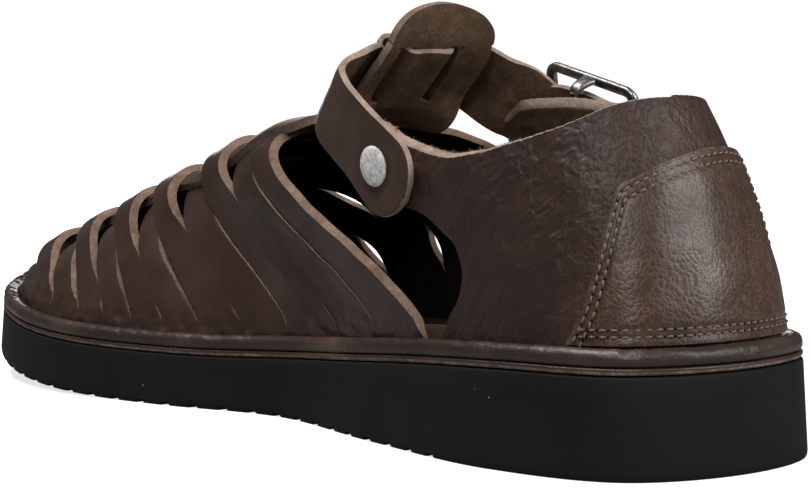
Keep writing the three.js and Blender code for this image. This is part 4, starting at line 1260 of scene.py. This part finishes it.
# the strap's middle line: up from the rivet, round the inner side, through the tab's two slits and the buckle
def strapRoute():
    over, under = tabHeight + 2.6, tabHeight - 1.9
    weave = []
    for i, x in enumerate(slitMiddles):
        first, last = (over, under) if i == 0 else (under, over)
        weave += [onInstep(x - 1.9, first), onInstep(x, tabHeight + 0.2), onInstep(x + 1.9, last)]
        if i == 0:
            weave += [onInstep(mix(x, slitMiddles[1], share), under + 0.15) for share in (0.36, 0.5, 0.64)]
    return [
        onInstep(-31.2, 91.5, -21.6), onInstep(-31.2, 98, -22.7), onInstep(-31.5, 104.5, -23.8),
        onInstep(-32.0, 110.5, -24.8), onInstep(-32.6, 116.5, -25.8), onInstep(-32.8, 122, -26.8),
        onInstep(-31.4, 127, -27.8), onInstep(-28.0, 131, -28.2), onInstep(-23, 133.8, -27.9),
        onInstep(-16.5, over - 0.8, -27),
        *weave, onInstep(7.5, over - 0.3), onInstep(14, 134.2, -26.8), onInstep(20, 130.2, -27.6),
        np.array([27.9, 103.6, 76.8]), np.array([32.9, 100.6, 73.2]), onBuckle(-7, -0.3), onBuckle(0, 0.3),
        onBuckle(9, -0.3), onBuckle(20, -0.8), onBuckle(31, -1.6),
    ]


# where the strap turns: out from the instep into the loop, in x back to the tab, in x to the buckle
strapTurns = {"loopFrom": (94, 116), "loopTo": (-32, -22), "buckle": (14, 29)}


# middle line, and at each point of it the ways along, across towards the top edge, and out of the face
def strapFrames(route, count):
    line = smoothPath(route, count)
    along = unit(np.gradient(line, axis=0))
    turns = strapTurns
    inLoop = smooth(line @ tabOut, *turns["loopFrom"]) * (1 - smooth(line[:, 0], *turns["loopTo"]))
    up = mix(tabAlong, loopUp, inLoop[:, None])
    up = mix(up, buckleUp, smooth(line[:, 0], *turns["buckle"])[:, None])
    up = unit(up - along * (up * along).sum(-1, keepdims=True))
    return line, along, up, np.cross(up, along)


# rounded strip of leather along a route: width falls off round both ends, the long edges are rounded off
def makeStrap():
    look = {"thickness": 2.0, "edgeRound": 0.3, "crown": 0.12, "holeBack": -4.0, "holeHalf": 1.5,
            "dent": 0.45, "dentRadius": 5.3}
    line, along, up, out = strapFrames(strapRoute(), 900)
    reach = runAlong(line)
    half = strapWidth / 2
    end = np.minimum(reach, reach[-1] - reach)
    wide = half * np.sqrt(1 - (1 - np.clip(end / half, 0.004, 1)) ** 2)
    u = np.sin(np.linspace(-np.pi / 2, np.pi / 2, 27))
    edge = np.abs(u)[None] ** 10        # only near the long edges
    width = wide[:, None] * u[None]
    mid = line[:, None] + up[:, None] * width[..., None]
    rise = look["thickness"] / 2 - look["edgeRound"] * edge + look["crown"] * (1 - u[None] ** 2)
    rise = rise + 0.05 * ripple(mid, 8, 61)
    near = np.linalg.norm(mid - rivetPlace(line, up, out)[0], axis=-1)
    rise = rise - look["dent"] * np.exp(-((near - look["dentRadius"]) / 1.1) ** 2)
    face = mid + out[:, None] * rise[..., None]
    back = mid - out[:, None] * (look["thickness"] / 2 - 0.1 * edge)[..., None]
    centre = (mid[:-1, :-1] + mid[1:, 1:]) / 2 - onBuckle(look["holeBack"], 0)
    hole = np.hypot(centre @ buckleBack, centre @ buckleUp) < look["holeHalf"]
    mask = ~(hole & (np.abs(centre @ buckleOut) < 4))
    sheetPiece("instepStrap", face, back, [brownLeather, rawEdge, fleshSide], ["instep_strap"],
               mask=mask, bulge=0.22)
    print("strap made")
    return line, along, up, out


rivetHeight = 63.4


# the rivet sits on the strap's middle line, a little above its round end
def rivetPlace(line, up, out):
    onFirstThird = np.arange(len(line)) <= len(line) // 3
    k = int(np.argmin(np.where(onFirstThird, np.abs(line[:, 2] - rivetHeight), np.inf)))
    return line[k], up[k], out[k]


strapLineFrames = makeStrap()


# domed cap turned about the strap's own direction: radius and height rows carried round
def makeRivet():
    look = {"radius": 4.75, "dome": 1.15, "rim": 0.5, "off": 0.75}
    place, up, out = rivetPlace(strapLineFrames[0], strapLineFrames[2], strapLineFrames[3])
    if out[0] > 0:
        out = -out
    side = np.cross(up, out)
    r, rim, dome = look["radius"], look["rim"], look["dome"]
    rows = [(0.001, 0.2), (r - 0.5, 0.2), (r - 0.12, 0.3), (r, 0.5), (r - 0.08, rim + 0.25),
            (r - 0.45, rim + 0.5)]
    rows += [(r * s, rim + 0.5 + (dome - 0.5) * (1 - s * s)) for s in (0.8, 0.66, 0.5, 0.35, 0.2, 0.08, 0.0004)]
    turn = np.linspace(0, 2 * np.pi, 73)[:-1]
    spoke = side * np.cos(turn)[:, None] + up * np.sin(turn)[:, None]
    grid = np.stack([place + out * (look["off"] + h) + spoke * radius for radius, h in rows])
    dent = 0.05 * ripple(grid, 2.6, 71) + 0.03 * ripple(grid, 1.2, 72)
    grid = grid + out * dent[..., None] * np.array([h > rim + 0.4 for _, h in rows])[:, None, None]
    faces = gridFaces(grid.shape[0], grid.shape[1], wrapColumns=True)
    meshPiece("rivetCap", grid, facingOut(grid, faces), [rivetMetal], ["rivet_cap"], sharp=50)


makeRivet()

# buckle

buckleLook = {"halfLength": 15.0, "halfWidth": 14.0, "corner": 4.0, "rail": 2.6, "railDepth": 2.0, "lift": 2.7,
              "barDepth": -3.6, "barRadius": 1.0, "prongRadius": 0.9}


# bar of a rounded-square section along a path with a fixed outward direction
def barGrid(path, outward, halfWide, halfDeep, closed=False, power=2.6, sides=20):
    ahead = np.roll(path, -1, axis=0) - np.roll(path, 1, axis=0) if closed else np.gradient(path, axis=0)
    along = unit(ahead)
    out = unit(outward - along * (along @ outward)[:, None])
    side = np.cross(along, out)
    turn = np.linspace(0, 2 * np.pi, sides + 1)[:-1]
    cos, sin = np.cos(turn), np.sin(turn)
    a = np.sign(cos) * np.abs(cos) ** (2 / power)
    b = np.sign(sin) * np.abs(sin) ** (2 / power)
    wide = np.broadcast_to(halfWide, len(path))[:, None, None]
    deep = np.broadcast_to(halfDeep, len(path))[:, None, None]
    return path[:, None] + side[:, None] * (a[None, :, None] * wide) + out[:, None] * (b[None, :, None] * deep)


# bars as one mesh: those that are not closed get flat ends
def joinGrids(grids):
    points, faces, count = [], [], 0
    for grid, closed in grids:
        rows, ring = grid.shape[:2]
        made = gridFaces(rows, ring, wrapRows=closed, wrapColumns=True)
        flat = grid.reshape(-1, 3)
        if not closed:
            i = np.arange(ring // 2 - 1)
            ends = np.stack([i, i + 1, ring - 2 - i, ring - 1 - i], axis=-1)
            made = np.concatenate([made, ends, ends[:, ::-1] + (rows - 1) * ring])
        points.append(flat)
        faces.append(facingOut(flat, made) + count)
        count += len(flat)
    return np.concatenate(points), np.concatenate(faces)


def makeBuckle():
    look = buckleLook
    a, b, r = (look[key] - look["rail"] / 2 for key in ("halfLength", "halfWidth", "corner"))
    quarterTurn = np.linspace(0, np.pi / 2, 13)
    ring = []
    for k, (sx, sy) in enumerate(((1, 1), (-1, 1), (-1, -1), (1, -1))):
        turn = quarterTurn + k * np.pi / 2
        ring += [(sx * (a - r) + r * math.cos(t), sy * (b - r) + r * math.sin(t)) for t in turn]
    ring = evenly(np.array(ring + ring[:1]), 241)[:-1]
    path = np.array([onBuckle(back, look["lift"], up) for back, up in ring])
    atEnds = smooth(np.abs(ring[:, 0]), a - 1.5, a)
    frameBar = barGrid(path, buckleOut, look["rail"] / 2 + 0.1 * atEnds, look["railDepth"] / 2 + 0.15 * atEnds,
                       closed=True)
    lugs = []
    for side in (-1, 1):
        route = [(0, look["lift"], side * b), (0, 0.2, side * (b + 0.25)),
                 (0, look["barDepth"] + 0.9, side * (b - 0.1)), (0, look["barDepth"], side * (b - 1.2))]
        lug = smoothPath([onBuckle(*p) for p in route], 24)
        lugs.append((barGrid(lug, buckleUp * side, mix(2.9, 1.4, np.linspace(0, 1, 24) ** 0.6), 0.95), False))
    bar = np.array([onBuckle(0, look["barDepth"], up) for up in np.linspace(-b + 0.6, b - 0.6, 30)])
    centreBar = barGrid(bar, buckleOut, look["barRadius"], look["barRadius"], power=2.0)
    points, faces = joinGrids([(frameBar, True), *lugs, (centreBar, False)])
    meshPiece("buckleFrame", points, faces, [buckleMetal], ["buckle_frame"], sharp=50)
    route = [(-2.6, look["barDepth"]), (-3.4, -1), (-5, 2.2), (-8.5, 4.6), (-13, 5), (-15.9, 4.5)]
    line = smoothPath([onBuckle(back, out) for back, out in route], 60)
    taper = mix(1.0, 0.72, smooth(np.linspace(0, 1, 60), 0.5, 1)) * np.sqrt(1 - np.linspace(0, 0.97, 60) ** 24)
    radius = look["prongRadius"] * taper
    prong = barGrid(line, buckleUp, radius, radius, power=2.0, sides=16)
    points, faces = joinGrids([(prong, False)])
    meshPiece("buckleProng", points, faces, [buckleMetal], ["buckle_prong"])


makeBuckle()


# leather loop folded round the centre bar, its two ends on the quarter's arm
def makeHolder():
    thickness, half, depth = 1.0, 8.0, buckleLook["barDepth"]
    middle = buckleLook["barRadius"] + shoe["gap"] + thickness / 2
    turn = np.pi / 2 + np.pi * np.arange(9) / 8
    bend = [(middle * math.cos(t), depth + middle * math.sin(t)) for t in turn]
    route = [(14, depth + middle - 2.3), (7, depth + middle - 1), *bend, (7, depth - middle - 0.1),
             (14, depth - middle - 0.4)]
    line = smoothPath(route, 110)
    along = unit(np.gradient(line, axis=0))
    side = np.stack([-along[:, 1], along[:, 0]], axis=1)
    u = np.linspace(-1, 1, 21)

    def skin(lift):
        flat = line + side * lift
        return np.stack([[onBuckle(back, out, w * half) for w in u] for back, out in flat])
    face, back = skin(thickness / 2), skin(-thickness / 2)
    centre = (line[:-1] + line[1:]) / 2
    uc = (u[:-1] + u[1:]) / 2 * half
    atProng = (centre[:, 0] > -6) & (centre[:, 0] < 1) & (centre[:, 1] > depth - 0.5)
    slot = atProng[:, None] & (np.abs(uc) < 4.5)[None]
    sheetPiece("buckleHolder", face, back, [brownLeather, rawEdge], ["buckle_holder"],
               mask=~slot, bulge=0.1)
    print("buckle made")


makeHolder()

# floor, light and camera

def makeStage():
    size = 6.0
    mesh = bpy.data.meshes.new("floor")
    corners = [(-size, -size, 0), (size, -size, 0), (size, size, 0), (-size, size, 0)]
    mesh.from_pydata(corners, [], [(0, 1, 2, 3)])
    floor = bpy.data.objects.new("floor", mesh)
    bpy.context.collection.objects.link(floor)
    material, tree, shader, place = startMaterial("paleFloor")
    seen = tree.nodes.new("ShaderNodeLightPath").outputs["Is Camera Ray"]
    far = addNode(tree, "ShaderNodeVectorMath", {0: place}, operation="LENGTH").outputs["Value"]
    glow = mathNode(tree, "MULTIPLY", mapRange(tree, far, 0.25, 0.8, 0.70, 1.0), seen)
    setInputs(tree, shader, {
        "Base Color": mapRange(tree, seen, 0.0, 1.0, 0.25, 0.6), "Roughness": 1.0, "Specular IOR Level": 0.0,
        "Emission Color": (1, 1, 1, 1), "Emission Strength": mathNode(tree, "ADD", glow, 0.04),
    })
    mesh.materials.append(material)


def areaLight(name, place, aim, size, power):
    light = bpy.data.lights.new(name, "AREA")
    light.shape = "RECTANGLE"
    light.size, light.size_y = size
    light.energy = power
    lamp = bpy.data.objects.new(name, light)
    lamp.location = place
    lamp.rotation_euler = (Vector(aim) - Vector(place)).to_track_quat("-Z", "Y").to_euler()
    lamp.visible_camera = False
    bpy.context.collection.objects.link(lamp)


def makeLights():
    world = bpy.data.worlds.new("studio")
    bpy.context.scene.world = world
    world.use_nodes = True
    tree = world.node_tree
    seen = tree.nodes.new("ShaderNodeLightPath").outputs["Is Camera Ray"]
    strength = mapRange(tree, seen, 0.0, 1.0, 0.10, 1.1)
    setInputs(tree, tree.nodes["Background"], {"Color": (1, 1, 1, 1), "Strength": strength})
    areaLight("keyLight", (0.52, -0.95, 0.66), (0, -0.12, 0.04), (0.12, 0.8), 7.5)
    areaLight("fillLight", (-0.66, -0.80, 0.85), (0, -0.04, 0.04), (0.22, 0.6), 6)
    areaLight("topLight", (-0.30, 0.15, 1.1), (0, 0.02, 0.03), (0.8, 0.5), 12)
    areaLight("rimLight", (0.80, 1.06, 0.24), (0, 0.02, 0.05), (0.7, 0.4), 4.5)
    bpy.context.scene.view_settings.view_transform = "Standard"
    bpy.context.scene.view_settings.look = "None"


cameraLook = {"azimuth": -35.81, "elevation": 4.98, "distance": 0.54997, "aim": (-0.00135, 0.0, 0.03),
              "roll": -0.85, "lens": 93.25, "shiftX": 0.0858, "shiftY": 0.0425}


def makeCamera():
    look = cameraLook
    a, e, r = (math.radians(look[key]) for key in ("azimuth", "elevation", "roll"))
    back = Vector((math.sin(a) * math.cos(e), -math.cos(a) * math.cos(e), math.sin(e)))
    right = (-back).cross(Vector((0, 0, 1))).normalized()
    up = right.cross(-back)
    turned = right * math.cos(r) + up * math.sin(r)
    lifted = up * math.cos(r) - right * math.sin(r)
    data = bpy.data.cameras.new("camera")
    data.lens, data.sensor_width = look["lens"], 36.0
    data.shift_x, data.shift_y = look["shiftX"], look["shiftY"]
    camera = bpy.data.objects.new("camera", data)
    place = Vector(look["aim"]) + back * look["distance"]
    camera.matrix_world = Matrix([[turned[k], lifted[k], back[k], place[k]] for k in range(3)] + [[0, 0, 0, 1]])
    bpy.context.collection.objects.link(camera)
    bpy.context.scene.camera = camera


makeStage()
makeLights()
makeCamera()
print("stage, lights and camera made")
